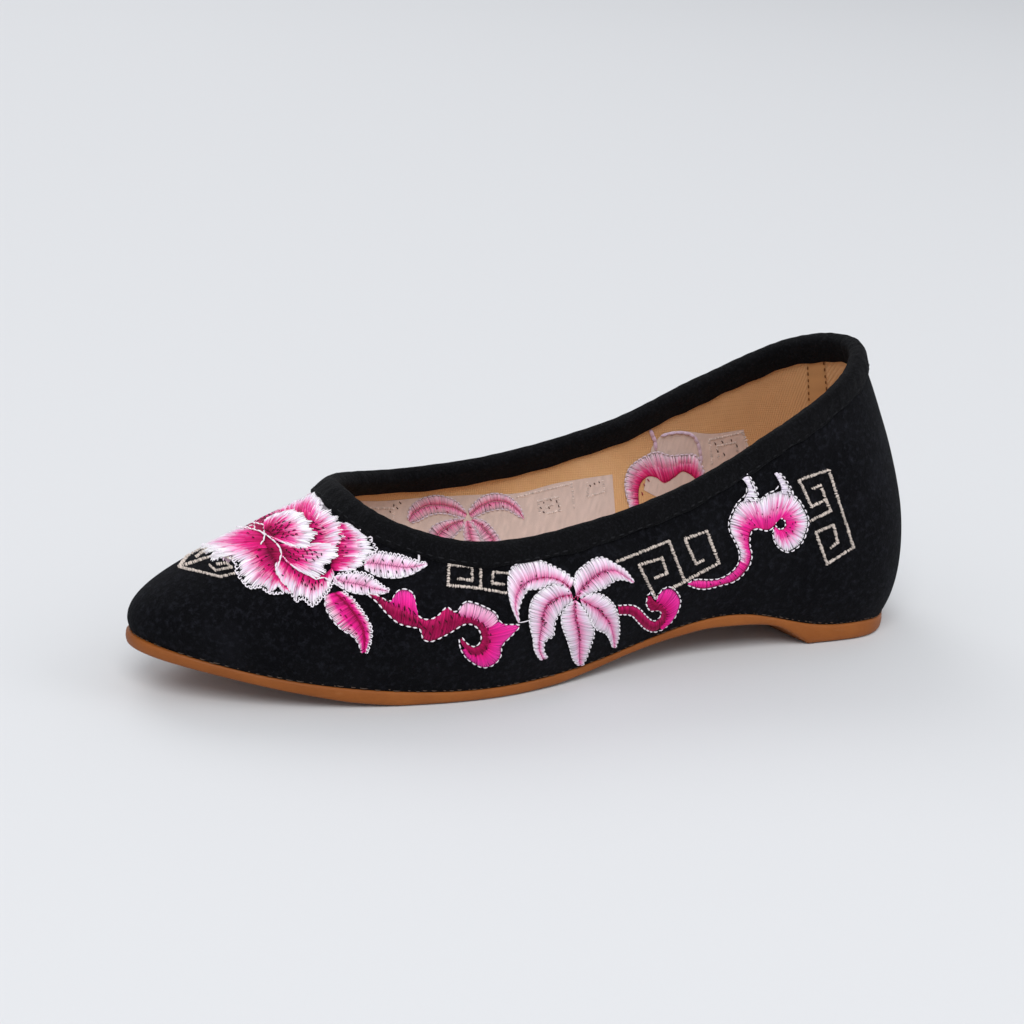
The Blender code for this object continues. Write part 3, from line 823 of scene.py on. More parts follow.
class Threads:
    """Stitches on the cloth, kept as u and v so that they can be laid on either side or inside."""

    def __init__(self, chart=outer_chart):
        self.chart = chart
        self.rows = []
        self.sheets = []

    def lay(self, start, end, width, height, lift, first, second, middle=None):
        """Stitches from start to end, each with the colours of its two ends and its middle."""
        n = len(start)
        middle = (np.asarray(first) + second) / 2 if middle is None else middle
        sizes = [np.broadcast_to(np.asarray(size, float), (n,))[:, None] for size in (width, height, lift)]
        columns = [start, end] + sizes
        columns += [np.broadcast_to(colour, (n, 3)) for colour in (first, middle, second)]
        self.rows.append(np.hstack(columns))

    def build(self, name, material, slot, mirror=False, keep=None, flat=1.0):
        """One piece: each stitch a raised ribbon two faces wide, each sheet the ground under a fill."""
        inside = self.chart.inside
        data = np.concatenate(self.rows)
        if keep is not None:
            data = data[keep(data)]
        u0, v0, u1, v1, width, height, low = data[:, :7].T
        first_colour, middle_colour, last_colour = data[:, 7:10], data[:, 10:13], data[:, 13:16]
        if mirror:
            u0, u1 = SPANS - u0, SPANS - u1
        t = BEND[None, :]
        u, v = u0[:, None] * (1 - t) + u1[:, None] * t, v0[:, None] * (1 - t) + v1[:, None] * t
        arch = np.sin(np.pi * t) ** 0.6
        lift = low[:, None] * flat + height[:, None] * flat * arch - 0.00010 * (1 - arch)
        points, normals = last.at(u, v, lift, inside)
        side = unit(np.cross(normals, unit(np.gradient(points, axis=1))))
        half = width[:, None, None] / 2 * (0.5 + 0.5 * arch[..., None])
        body = np.stack([points - side * half - normals * half * 0.5, points + normals * half * 0.55,
                         points + side * half - normals * half * 0.5], 2)
        count, bends = len(data), len(BEND)
        first = (np.arange(count) * bends * 3)[:, None, None]
        i = (np.arange(bends - 1) * 3)[None, :, None] + np.arange(2)[None, None, :]
        corner = (first + i).reshape(-1)
        faces = np.stack([corner, corner + 3, corner + 4, corner + 1], 1)
        early, late = np.clip(1 - 2 * t, 0, 1)[..., None], np.clip(2 * t - 1, 0, 1)[..., None]
        colours = (first_colour[:, None] * early + middle_colour[:, None] * (1 - early - late)
                   + last_colour[:, None] * late)
        colours = colours[:, :, None].repeat(3, 2)
        flat_uv = np.stack([u if not mirror else SPANS - u, v], -1)[:, :, None].repeat(3, 2).reshape(-1, 2)
        vertices, colours = [body.reshape(-1, 3)], [colours.reshape(-1, 3)]
        uvs, all_faces, base = [flat_uv], [faces], len(vertices[0])
        for grid, tint, sheet_lift in self.sheets:
            gu = SPANS - grid[..., 0] if mirror else grid[..., 0]
            sheet, _ = last.at(gu, grid[..., 1], sheet_lift * flat, inside)
            vertices.append(sheet.reshape(-1, 3))
            colours.append(tint.reshape(-1, 3))
            uvs.append(grid.reshape(-1, 2))
            quads = grid_faces(*grid.shape[:2], first=base)
            p = sheet.reshape(-1, 3)[quads - base]
            up = last.at(gu, grid[..., 1], 0.0, inside)[1].reshape(-1, 3)[quads[:, 0] - base]
            turned = (np.cross(p[:, 1] - p[:, 0], p[:, 3] - p[:, 0]) * up).sum(1) < 0
            quads[turned] = quads[turned][:, ::-1]
            all_faces.append(quads)
            base += sheet.shape[0] * sheet.shape[1]
        colours, uvs = np.concatenate(colours), np.concatenate(uvs)
        low, high = uvs.min(0), uvs.max(0)
        piece = new_piece(name, np.concatenate(vertices), np.concatenate(all_faces), [material],
                          np.clip(colours, 0, 1), (uvs - low) / (high - low))
        return piece


def palette(stops):
    """A function that gives the colours at shares between the stops."""
    places, colours = [place for place, _ in stops], np.array([colour for _, colour in stops])
    return lambda r: np.stack([np.interp(r, places, colours[:, i]) for i in range(3)], -1)


def satin(bag, crop, rungs, stops, level=0, teeth=0, depth=0.0, ragged=0.05, reach=0.0052, pitch=0.00038,
          painted_gap_shade=0.30, inset=(0.0, 0.0), blend=0.0):
    """Long and short satin stitch between two edges; a rung is (x, y) on each, in the crop's pixels."""
    rungs = np.asarray(rungs, float).reshape(len(rungs), 4)
    dense = through(rungs, BETWEEN * (len(rungs) - 1) + 1)
    count = len(dense)
    uv = bag.chart.find(np.vstack([crop(dense[:, :2]), crop(dense[:, 2:])]))
    inner, outer = uv[:count], uv[count:]
    a, b = last.at(*inner.T)[0], last.at(*outer.T)[0]
    numbers = np.arange(count)
    tone = palette(stops)
    rows = max(1, int(np.ceil(np.percentile(np.linalg.norm(b - a, axis=1), 70) / reach)))
    lift = 0.00010 + LAYER * level
    for row in range(rows):
        r0, r1 = row / rows, (row + 1) / rows
        rail = a + (b - a) * (0.25 * r0 + 0.75 * r1)
        s = run_length(rail)
        n = max(3, int(s[-1] / pitch))
        along = np.interp((np.arange(n) + 0.5 + rng.uniform(-0.3, 0.3, n)) / n * s[-1], s, numbers)
        far_along = np.clip(along + rng.uniform(-0.25, 0.25, n), 0, count - 1)
        start = r0 - (0.5 / rows if row else blend) * rng.random(n)
        last_row = row == rows - 1
        end = r1 + (0.45 / rows * rng.random(n) if not last_row else ragged * (rng.random(n) - 0.7))
        if last_row and teeth:
            end = end - depth * np.abs(2 * ((along / (count - 1) * teeth) % 1) - 1)
        across = np.interp(along, numbers, np.maximum(np.linalg.norm(b - a, axis=1), 0.0006))
        start = start + inset[0] / across * (row == 0)
        end = end - inset[1] / across * last_row
        end = np.maximum(end, start + 0.02)
        near = [pick(line, numbers, along) for line in (inner, outer)]
        far = [pick(line, numbers, far_along) for line in (inner, outer)]
        p0 = near[0] * (1 - start[:, None]) + near[1] * start[:, None]
        p1 = far[0] * (1 - end[:, None]) + far[1] * end[:, None]
        shade = 1 + rng.normal(0, 0.13, (n, 1))
        spread = rng.normal(0, 0.07, n)
        bag.lay(
            p0, p1, width=THREAD * rng.uniform(0.85, 1.2, n), height=0.00028 + 0.00008 * rng.random(n),
            lift=lift + 0.00003 * row, first=tone(start + spread) * shade, second=tone(end + spread) * shade,
            middle=tone((start + end) / 2 + spread) * shade)
    # the ground sheet under the fill takes the fill's own colours, darkened as painted shade that shows in
    # the gaps between the stitches
    share = np.linspace(0.02, 1 - depth * 0.8 - 0.05, 6)[None, :, None]
    grid = inner[::3, None] * (1 - share) + outer[::3, None] * share
    tint = tone(np.broadcast_to(share[..., 0], grid.shape[:2])) * painted_gap_shade
    bag.sheets.append((grid, tint, 0.00005 + LAYER * level))
    return inner, outer


def halves(rungs):
    """A petal's rungs, each middle, upper edge and lower edge, as the rungs of its two halves."""
    rungs = np.asarray(rungs, float)
    return rungs[:, :4], rungs[:, [0, 1, 4, 5]]


def couch(bag, line, dash=0.0014, gap=0.0005, width=0.00044, colour=WHITE, lift=0.0002, height=0.00026):
    """Dashes along a line of u and v."""
    points = last.at(*line.T)[0]
    s = run_length(points)
    starts = np.arange(0, s[-1] - dash * 0.6, dash + gap)
    starts = starts + rng.uniform(-0.12, 0.12, len(starts)) * gap
    ends = np.minimum(starts + dash * rng.uniform(0.85, 1.1, len(starts)), s[-1])
    shade = 1 - 0.12 * rng.random((len(starts), 1))
    bag.lay(pick(line, s, starts), pick(line, s, ends), width=width, height=height, lift=lift,
            first=colour * shade, second=colour * shade)


def line_on_cloth(crop, points, per=14, chart=outer_chart):
    return chart.find(crop(through(points, per * (len(points) - 1) + 1)))


def loops(bag, crop, rungs, high=1.6, pitch=3.4, lift=0.0006):
    """Small thread loops that stand out past the rungs' outer edge, sized in the photograph's pixels."""
    rungs = np.asarray(rungs, float).reshape(len(rungs), 4)
    dense = through(rungs, BETWEEN * (len(rungs) - 1) + 1)
    inner, rim = crop(dense[:, :2]), crop(dense[:, 2:])
    s = run_length(rim)
    n = max(2, int(s[-1] / pitch))
    where = (np.arange(n) + 0.5 + rng.uniform(-0.25, 0.25, n)) / n * s[-1]
    middle = pick(rim, s, where)
    out = unit(middle - pick(inner, s, where))
    along = np.stack([-out[:, 1], out[:, 0]], 1)
    size = rng.uniform(0.7, 1.25, (n, 1))
    corners = [middle + size * (along * a + out * b * high) for a, b in
               ((-1.1, -1.2), (-1.5, 0.3), (0.0, 1.0), (1.5, 0.3), (1.1, -1.2))]
    uv = bag.chart.find(np.vstack(corners)).reshape(5, n, 2)
    for k in range(4):
        bag.lay(uv[k], uv[k + 1], width=0.00036, height=0.00018, lift=lift, first=WHITE, second=WHITE)


def ticks(bag, crop, places, size=0.9, colour=DARK, lift=0.00045, turn=None):
    """Short dark stitches, size in pixels of the photograph."""
    centres = crop(places)
    if turn is None:
        angle = rng.uniform(0, np.pi, len(centres))
    else:
        angle = np.radians(turn) + rng.normal(0, 0.25, len(centres))
    reach = size * rng.uniform(0.6, 1.2, len(centres))
    offset = np.stack([np.cos(angle), np.sin(angle)], 1) * reach[:, None]
    uv = bag.chart.find(np.vstack([centres - offset, centres + offset]))
    n = len(centres)
    bag.lay(uv[:n], uv[n:], width=0.00034, height=0.00022, lift=lift, first=colour, second=colour)


def fret(bag, crop, points, width=3.1, pitch=0.00042, colour=CREAM):
    """A straight-sided cream line of short stitches laid across it."""
    points = crop(points)
    for begin, finish in zip(points[:-1], points[1:]):
        way = finish - begin
        size = np.linalg.norm(way)
        way = way / size
        across = np.array([-way[1], way[0]]) * width / 2
        ends = last.at(*bag.chart.find(np.array([begin, finish])).T)[0]
        n = max(2, int(np.linalg.norm(ends[1] - ends[0]) / pitch))
        t = (np.arange(n + 1) + rng.uniform(-0.2, 0.2, n + 1)) / n
        middle = begin + way * (t * size)[:, None]
        low = middle - across * rng.uniform(0.6, 1.3, (n + 1, 1)) + way * rng.uniform(-0.5, 0.5, (n + 1, 1))
        high = middle + across * rng.uniform(0.6, 1.3, (n + 1, 1)) + way * rng.uniform(-0.5, 0.5, (n + 1, 1))
        uv = bag.chart.find(np.vstack([low, high]))
        shade = rng.uniform(0.62, 1.1, (n + 1, 1))
        bag.lay(uv[:n + 1], uv[n + 1:], width=0.00042, height=0.00034, lift=0.0001,
                first=colour * shade, second=colour * shade)


def chart_peony(bag):
    heart = [
        (0.0, WINE), (0.14, CRIMSON), (0.28, HOT), (0.42, HOT), (0.50, PINK), (0.58, PALE),
        (0.68, LAVENDER), (0.80, WHITE), (1.0, WHITE),
    ]
    blush = [
        (0.0, CRIMSON), (0.12, HOT), (0.34, HOT), (0.44, PINK), (0.56, PALE), (0.72, BLUSH),
        (0.9, WHITE), (1.0, WHITE),
    ]
    deep = [(0.0, WINE), (0.5, CRIMSON), (1.0, HOT)]
    # behind, along the ridge of the vamp
    satin(bag, VAMP, [
        (700, 275, 535, 243), (705, 262, 585, 222), (715, 250, 625, 200), (730, 240, 665, 181),
        (750, 230, 705, 159), (790, 220, 745, 137),
    ], deep, teeth=6, depth=0.10)
    satin(bag, VAMP, [
        (745, 190, 748, 138), (775, 185, 790, 117), (815, 185, 838, 92), (840, 195, 880, 73),
        (858, 212, 912, 58), (868, 228, 930, 100), (875, 240, 935, 140), (880, 250, 915, 180),
    ], heart, level=1, teeth=8, depth=0.14)
    satin(bag, VAMP, [
        (858, 195, 925, 150), (852, 220, 965, 138), (852, 248, 1003, 170), (856, 272, 1033, 205),
        (862, 295, 1040, 245), (870, 312, 1052, 282), (885, 325, 1022, 318), (905, 332, 985, 330),
    ], heart, level=1, teeth=8, depth=0.14)
    satin(bag, VAMP, [
        (985, 222, 1060, 205), (985, 250, 1112, 236), (982, 285, 1160, 272), (978, 315, 1172, 312),
        (975, 345, 1192, 338), (972, 375, 1165, 372), (970, 400, 1135, 412), (972, 425, 1085, 440),
        (978, 440, 1035, 440),
    ], heart, teeth=10, depth=0.12)
    # the middle of the flower
    satin(bag, VAMP, [
        (642, 250, 680, 252), (640, 285, 705, 282), (645, 315, 735, 318), (660, 345, 752, 342),
        (682, 372, 762, 372), (700, 400, 765, 402), (708, 425, 745, 428),
    ], deep)
    # the large left petal, in two fans
    satin(bag, VAMP, [
        (650, 255, 545, 243), (648, 268, 478, 262), (648, 282, 420, 292), (650, 298, 352, 322),
        (655, 315, 412, 345), (664, 330, 470, 375),
    ], blush, level=1, teeth=7, depth=0.24, inset=(0.0, -0.0045))
    satin(bag, VAMP, [
        (655, 320, 470, 370), (668, 345, 515, 415), (682, 362, 520, 455), (696, 382, 545, 495),
        (706, 402, 585, 528), (714, 425, 630, 518), (720, 450, 680, 553), (728, 475, 712, 524),
        (742, 500, 745, 548), (758, 525, 785, 556),
    ], heart, level=1, teeth=10, depth=0.13)
    for rim in (
        [
            (650, 298, 352, 322), (655, 315, 412, 345), (664, 330, 470, 375), (668, 345, 515, 415),
            (682, 362, 520, 455), (696, 382, 545, 495), (706, 402, 585, 528), (714, 425, 630, 524),
            (720, 450, 680, 553), (735, 490, 745, 552),
        ],
        [
            (812, 425, 785, 560), (842, 440, 810, 590), (870, 452, 838, 576), (898, 460, 882, 612),
            (925, 460, 922, 580), (948, 452, 955, 548), (966, 440, 984, 500),
        ],
        [
            (985, 250, 1112, 236), (982, 285, 1160, 272), (978, 315, 1175, 312), (975, 345, 1195, 338),
            (972, 375, 1168, 372), (970, 400, 1135, 412),
        ],
    ):
        loops(bag, VAMP, rim, high=1.2, pitch=3.6, lift=0.0009)
    # bottom petal
    satin(bag, VAMP, [
        (722, 388, 700, 425), (750, 395, 712, 480), (782, 408, 745, 525), (812, 425, 782, 560),
        (842, 440, 800, 592), (870, 452, 838, 572), (898, 460, 882, 612), (925, 460, 922, 578),
        (948, 452, 955, 545), (966, 440, 978, 500), (976, 428, 992, 462),
    ], heart, level=2, teeth=9, depth=0.14)
    # lower middle fan
    satin(bag, VAMP, [
        (722, 322, 770, 322), (728, 332, 850, 342), (732, 338, 905, 318), (738, 345, 955, 312),
        (742, 352, 1003, 322), (745, 360, 1028, 352), (748, 368, 1000, 395), (748, 375, 962, 425),
        (745, 380, 945, 478), (742, 382, 900, 480), (738, 382, 845, 462), (732, 376, 790, 425),
        (726, 365, 748, 388),
    ], heart, level=3, teeth=12, depth=0.10)
    # upper middle fan
    satin(bag, VAMP, [
        (655, 252, 662, 205), (662, 254, 705, 180), (668, 256, 748, 166), (674, 258, 795, 152),
        (680, 262, 838, 166), (684, 267, 884, 205), (688, 272, 890, 245), (690, 277, 925, 266),
        (690, 282, 893, 302), (688, 287, 896, 338), (682, 290, 848, 342), (676, 288, 795, 334),
        (670, 284, 740, 312), (664, 278, 700, 298),
    ], heart, level=4, teeth=14, depth=0.10)
    for line in (
        [(520, 243), (580, 250), (640, 265), (685, 295), (722, 330), (736, 368), (718, 430)],
        [(640, 265), (660, 285), (652, 305), (636, 325)],
        [(600, 222), (650, 232), (672, 240)],
        [(870, 470), (900, 490), (940, 480), (975, 500)],
        [(985, 470), (1005, 500), (1030, 520)],
    ):
        couch(bag, line_on_cloth(VAMP, line), dash=0.0022, gap=0.00002, width=0.0005, lift=0.0011)
    ticks(bag, VAMP, [
        (700, 262), (715, 250), (722, 275), (735, 262), (748, 280), (760, 252), (690, 248), (742, 240),
        (775, 270), (705, 285), (765, 290), (800, 262), (712, 236), (728, 228), (752, 222), (772, 240),
        (790, 285), (742, 296), (722, 262), (780, 226), (810, 280), (735, 248),
    ], size=2.0, lift=0.0015, turn=-30)
    ticks(bag, VAMP, [
        (775, 365), (795, 372), (815, 360), (840, 380), (860, 365), (800, 350), (885, 372), (910, 385),
        (760, 352), (780, 385), (820, 395), (850, 350), (830, 345), (875, 352), (900, 362), (930, 372),
        (855, 398), (805, 400), (890, 398),
    ], size=1.8, lift=0.0013, turn=60)
    ticks(bag, VAMP, [
        (870, 500), (885, 515), (900, 505), (860, 520), (915, 500), (840, 490), (880, 535), (800, 455),
        (820, 470), (790, 440), (850, 515), (930, 515), (895, 530), (945, 490), (835, 505),
    ], size=1.8, lift=0.0011, turn=75)
    ticks(bag, VAMP, [
        (905, 225), (915, 250), (925, 270), (900, 245), (1035, 300), (1045, 330), (1060, 290), (1030, 350),
        (660, 380), (640, 400), (675, 420), (690, 345), (600, 290), (575, 270), (1010, 320), (1020, 280),
        (1050, 360), (1000, 360), (890, 215), (880, 260), (900, 290), (935, 240), (650, 440), (620, 380),
        (700, 450), (740, 470), (630, 350),
    ], size=1.8, lift=0.0009, turn=10)


def chart_leaves(bag):
    pale = [(0.0, linear(240, 140, 190)), (0.15, PALE), (0.4, BLUSH), (0.7, LAVENDER), (1.0, WHITE)]
    stripe = [(0.0, CRIMSON), (0.12, HOT), (0.55, MAGENTA), (0.78, PINK), (0.9, PALE), (1.0, WHITE)]
    shapes = [
        (pale, [
            (1135, 405, 1158, 366, 1135, 432), (1180, 405, 1205, 353, 1185, 462),
            (1230, 412, 1255, 358, 1240, 475), (1285, 420, 1310, 370, 1300, 475),
            (1340, 425, 1365, 388, 1355, 462), (1390, 418, 1408, 402, 1402, 438),
            (1436, 408, 1440, 405, 1440, 412),
        ]),
        (pale, [
            (985, 478, 1005, 462, 985, 500), (1030, 492, 1060, 453, 1030, 528),
            (1080, 502, 1120, 453, 1080, 548), (1130, 512, 1172, 474, 1132, 555),
            (1180, 526, 1212, 508, 1190, 556), (1250, 540, 1256, 535, 1254, 546),
        ]),
        (stripe, [
            (990, 545, 1030, 542, 945, 560), (1030, 580, 1078, 575, 945, 615),
            (1066, 618, 1112, 622, 975, 672), (1098, 662, 1148, 672, 1022, 722),
            (1122, 706, 1166, 722, 1075, 752), (1135, 760, 1163, 775, 1106, 792),
            (1132, 830, 1142, 835, 1116, 835),
        ]),
    ]
    for stops, both in shapes:
        for upper, rungs in zip((True, False), halves(both)):
            _, rim = satin(bag, VAMP, rungs, stops, level=1, ragged=0.06, reach=0.0060)
            if upper:
                loops(bag, VAMP, rungs, high=1.2, pitch=3.8, lift=0.0005)
            else:
                couch(bag, rim, dash=0.0013, gap=0.0006, width=0.00040, lift=0.00035)
    couch(bag, line_on_cloth(VAMP, [
        (1398, 355), (1396, 378), (1399, 402),
    ]), dash=0.0025, gap=0, width=0.0006)
    middle = [(1010, 560), (1045, 595), (1085, 640), (1115, 690), (1130, 745), (1134, 800)]
    couch(bag, line_on_cloth(VAMP, middle), dash=0.0018, gap=0.0001, width=0.0004, colour=CRIMSON,
          lift=0.0006)
    ticks(bag, VAMP, [
        (1160, 440), (1185, 442), (1215, 445), (1250, 448), (1290, 450), (1330, 445), (1365, 438),
        (1180, 395), (1225, 392), (1270, 396), (1320, 405), (1035, 505), (1075, 518), (1120, 528),
        (1160, 536), (1050, 478), (1095, 480), (1140, 492),
    ], size=2.0, lift=0.0006, turn=80)
    ticks(bag, VAMP, [
        (1000, 600), (1020, 630), (1045, 660), (1070, 700), (1095, 740), (1040, 575), (1075, 600),
        (1110, 650), (1135, 690), (1150, 730), (1020, 655), (1060, 720),
    ], size=2.4, colour=WINE, lift=0.0006, turn=30)


def chart_scrolls(bag):
    wine = [
        (0.0, linear(190, 16, 92)), (0.3, linear(122, 2, 52)), (0.65, linear(160, 8, 74)),
        (1.0, linear(206, 30, 108)),
    ]
    bright = [(0.0, HOT), (0.3, MAGENTA), (1.0, linear(238, 62, 166))]
    shell = [(0.0, PINK), (0.35, PALE), (1.0, linear(248, 196, 224))]
    long_row = {"ragged": 0.02, "reach": 0.008}
    free_inner, free_outer = {"inset": (EDGE, 0.0)}, {"inset": (0.0, EDGE)}
    lapped = {"level": 2, "blend": 0.22, **free_outer, **long_row}
    ribbon = [
        (60, 412, 60, 407), (130, 470, 150, 425), (200, 550, 215, 470), (290, 625, 300, 500),
        (380, 650, 400, 545), (452, 668, 470, 592), (470, 740, 530, 592), (530, 760, 590, 560),
        (610, 728, 655, 508), (690, 685, 715, 545), (750, 645, 770, 560), (800, 627, 830, 572),
        (850, 637, 890, 592), (890, 672, 945, 640), (908, 730, 980, 720), (890, 780, 960, 810),
        (850, 798, 900, 865), (810, 780, 830, 850), (775, 745, 765, 785), (765, 730, 748, 738),
    ]
    inner, outer = satin(bag, SCROLL, ribbon, wine, level=1, **free_inner, **long_row)
    satin(bag, SCROLL, [
        (215, 472, 237, 468), (250, 487, 255, 420), (300, 502, 293, 378), (350, 522, 352, 372),
        (395, 545, 402, 412), (430, 567, 418, 500),
    ], bright, **lapped)
    satin(bag, SCROLL, [
        (735, 550, 745, 520), (770, 562, 785, 465), (830, 575, 850, 470), (880, 592, 920, 497),
        (930, 624, 1012, 545), (955, 655, 1038, 600),
    ], shell, **lapped)
    satin(bag, SCROLL, [
        (955, 655, 1040, 605), (968, 680, 1110, 632), (975, 700, 1195, 640), (980, 740, 1140, 705),
        (972, 780, 1062, 790), (955, 820, 1052, 870), (930, 848, 1000, 930), (900, 865, 930, 952),
        (860, 862, 865, 928), (820, 845, 795, 877), (785, 805, 758, 818),
    ], bright, **lapped)
    couch(bag, inner)
    ticks(bag, SCROLL, [
        (150, 440), (180, 455), (215, 462), (250, 480), (290, 492), (330, 510), (370, 520), (405, 545),
        (330, 560), (370, 590), (410, 600), (450, 620), (480, 650), (540, 640), (590, 610), (640, 600),
        (680, 570), (740, 560), (780, 568), (830, 580), (880, 598), (920, 630), (950, 660), (970, 700),
        (965, 750), (940, 800), (910, 840), (860, 850), (820, 835), (520, 690), (610, 670),
    ], size=2.2, colour=linear(64, 4, 30), lift=0.0010, turn=75)
    couch(bag, line_on_cloth(SCROLL, [
        (60, 405), (120, 412), (190, 450), (235, 466), (255, 418), (292, 376), (350, 370), (402, 408),
        (418, 500), (435, 565), (480, 592), (540, 590), (595, 556), (625, 520), (660, 503), (708, 545),
        (742, 518), (782, 462), (850, 468), (920, 494), (1012, 543), (1038, 596), (1075, 632), (1130, 632),
        (1198, 638), (1145, 705), (1065, 790), (1054, 870), (1002, 932), (930, 955), (865, 932), (795, 880),
        (752, 812), (742, 745),
    ]))
    couch(bag, line_on_cloth(LILY, [
        (172, 568), (182, 580), (192, 592), (225, 560), (262, 545),
    ]), dash=0.006, gap=0, width=0.0003)
    # the small scroll under the lily
    inner, outer = satin(bag, LILY, [
        (900, 505, 898, 440), (990, 508, 1000, 437), (1045, 560, 1060, 468), (1095, 607, 1108, 520),
        (1160, 628, 1160, 553), (1220, 590, 1205, 520), (1250, 530, 1212, 492), (1252, 470, 1185, 472),
        (1208, 430, 1135, 482), (1160, 405, 1103, 430), (1138, 372, 1112, 368),
    ], wine, level=1, **free_outer, **long_row)
    satin(bag, LILY, [
        (1205, 600, 1225, 612), (1238, 562, 1290, 552), (1258, 512, 1337, 470), (1254, 462, 1350, 390),
        (1222, 427, 1300, 318), (1190, 412, 1245, 312), (1180, 405, 1200, 348), (1174, 402, 1176, 398),
    ], bright, **lapped)
    couch(bag, outer)
    couch(bag, line_on_cloth(LILY, [
        (900, 507), (990, 512), (1045, 565), (1095, 612), (1160, 634), (1225, 612), (1295, 552),
        (1342, 470), (1354, 388), (1302, 314), (1245, 308), (1198, 348), (1176, 400), (1160, 375),
        (1138, 345), (1112, 366),
    ]))
    # the heel's scroll with its two horns
    shade = [(0.0, HOT), (0.28, MAGENTA), (0.46, PINK), (0.60, PALE), (0.74, LAVENDER), (1.0, WHITE)]
    body = [
        (60, 985, 60, 965), (130, 1008, 120, 942), (210, 1012, 210, 945), (330, 982, 300, 938),
        (420, 955, 380, 900), (490, 900, 435, 850), (540, 830, 468, 790), (560, 750, 465, 715),
        (545, 680, 435, 645), (545, 610, 395, 570), (560, 562, 385, 500), (600, 540, 405, 430),
        (630, 545, 460, 335), (650, 552, 560, 290), (670, 556, 620, 310), (700, 552, 700, 260),
        (730, 530, 790, 240), (755, 500, 860, 250), (775, 470, 930, 310), (800, 462, 985, 400),
        (825, 485, 1010, 480), (828, 515, 990, 580), (810, 540, 950, 660), (790, 545, 860, 722),
        (770, 538, 790, 697), (755, 525, 745, 640), (747, 520, 735, 572),
    ]
    tail = [(0.0, HOT), (0.6, MAGENTA), (1.0, PINK)]
    satin(bag, HEEL, body[:7], tail, level=1, inset=(EDGE, EDGE), **long_row)
    satin(bag, HEEL, body[6:], shade, level=1, ragged=0.03, reach=0.0060, inset=(EDGE, EDGE))
    horn = [(0.0, LAVENDER), (1.0, WHITE)]
    left_horn = [
        (492, 335, 610, 325), (512, 285, 606, 290), (532, 245, 598, 250), (522, 200, 586, 206),
        (500, 164, 562, 170), (478, 146, 540, 132), (470, 128, 512, 108),
    ]
    right_horn = [
        (790, 262, 872, 268), (793, 225, 866, 228), (786, 195, 846, 192), (768, 158, 818, 150),
        (750, 126, 788, 112), (736, 106, 754, 96),
    ]
    for rungs in (left_horn, right_horn):
        for side in satin(bag, HEEL, rungs, horn, level=2):
            couch(bag, side, dash=0.0010, gap=0.0007, width=0.0004, lift=0.0010)
    ticks(bag, HEEL, [
        (560, 300), (575, 255), (560, 215), (545, 180), (530, 320), (590, 330), (835, 255), (838, 215),
        (820, 180), (800, 145), (845, 285),
    ], size=1.8, lift=0.0012, turn=60)
    rim = [
        (60, 968), (120, 940), (210, 942), (300, 936), (380, 898), (432, 850), (464, 790), (460, 715),
        (430, 645), (390, 570), (380, 500), (400, 430), (452, 335), (500, 290), (528, 240), (512, 192),
    ]
    couch(bag, line_on_cloth(HEEL, rim))
    couch(bag, line_on_cloth(HEEL, [
        (632, 312), (665, 282), (700, 258), (745, 240), (775, 205), (785, 185),
    ]))
    couch(bag, line_on_cloth(HEEL, [
        (885, 240), (890, 275), (932, 308), (988, 398), (1014, 480), (994, 582), (953, 664), (862, 727),
        (788, 702), (742, 642), (730, 580), (738, 535),
    ]))
    couch(bag, line_on_cloth(HEEL, [
        (60, 985), (130, 1012), (210, 1016), (330, 986), (422, 960), (494, 905), (546, 832), (566, 750),
        (550, 680), (550, 612), (562, 566), (600, 540), (645, 552), (690, 560), (725, 540), (752, 512),
    ]))
    angle = np.linspace(0, 2 * np.pi, 13)
    eye = np.stack([790 + 40 * np.cos(angle), 502 + 44 * np.sin(angle)], 1)
    couch(bag, line_on_cloth(HEEL, eye, 5), dash=0.0009, gap=0.0004)
    ticks(bag, HEEL, [
        (555, 470), (540, 500), (580, 510), (480, 590), (500, 620), (700, 450), (760, 375), (880, 500),
        (865, 440), (900, 490), (840, 600), (880, 560), (830, 570), (430, 905), (235, 975), (310, 960),
        (640, 425), (860, 530),
    ], size=1.1, lift=0.0006, turn=70)


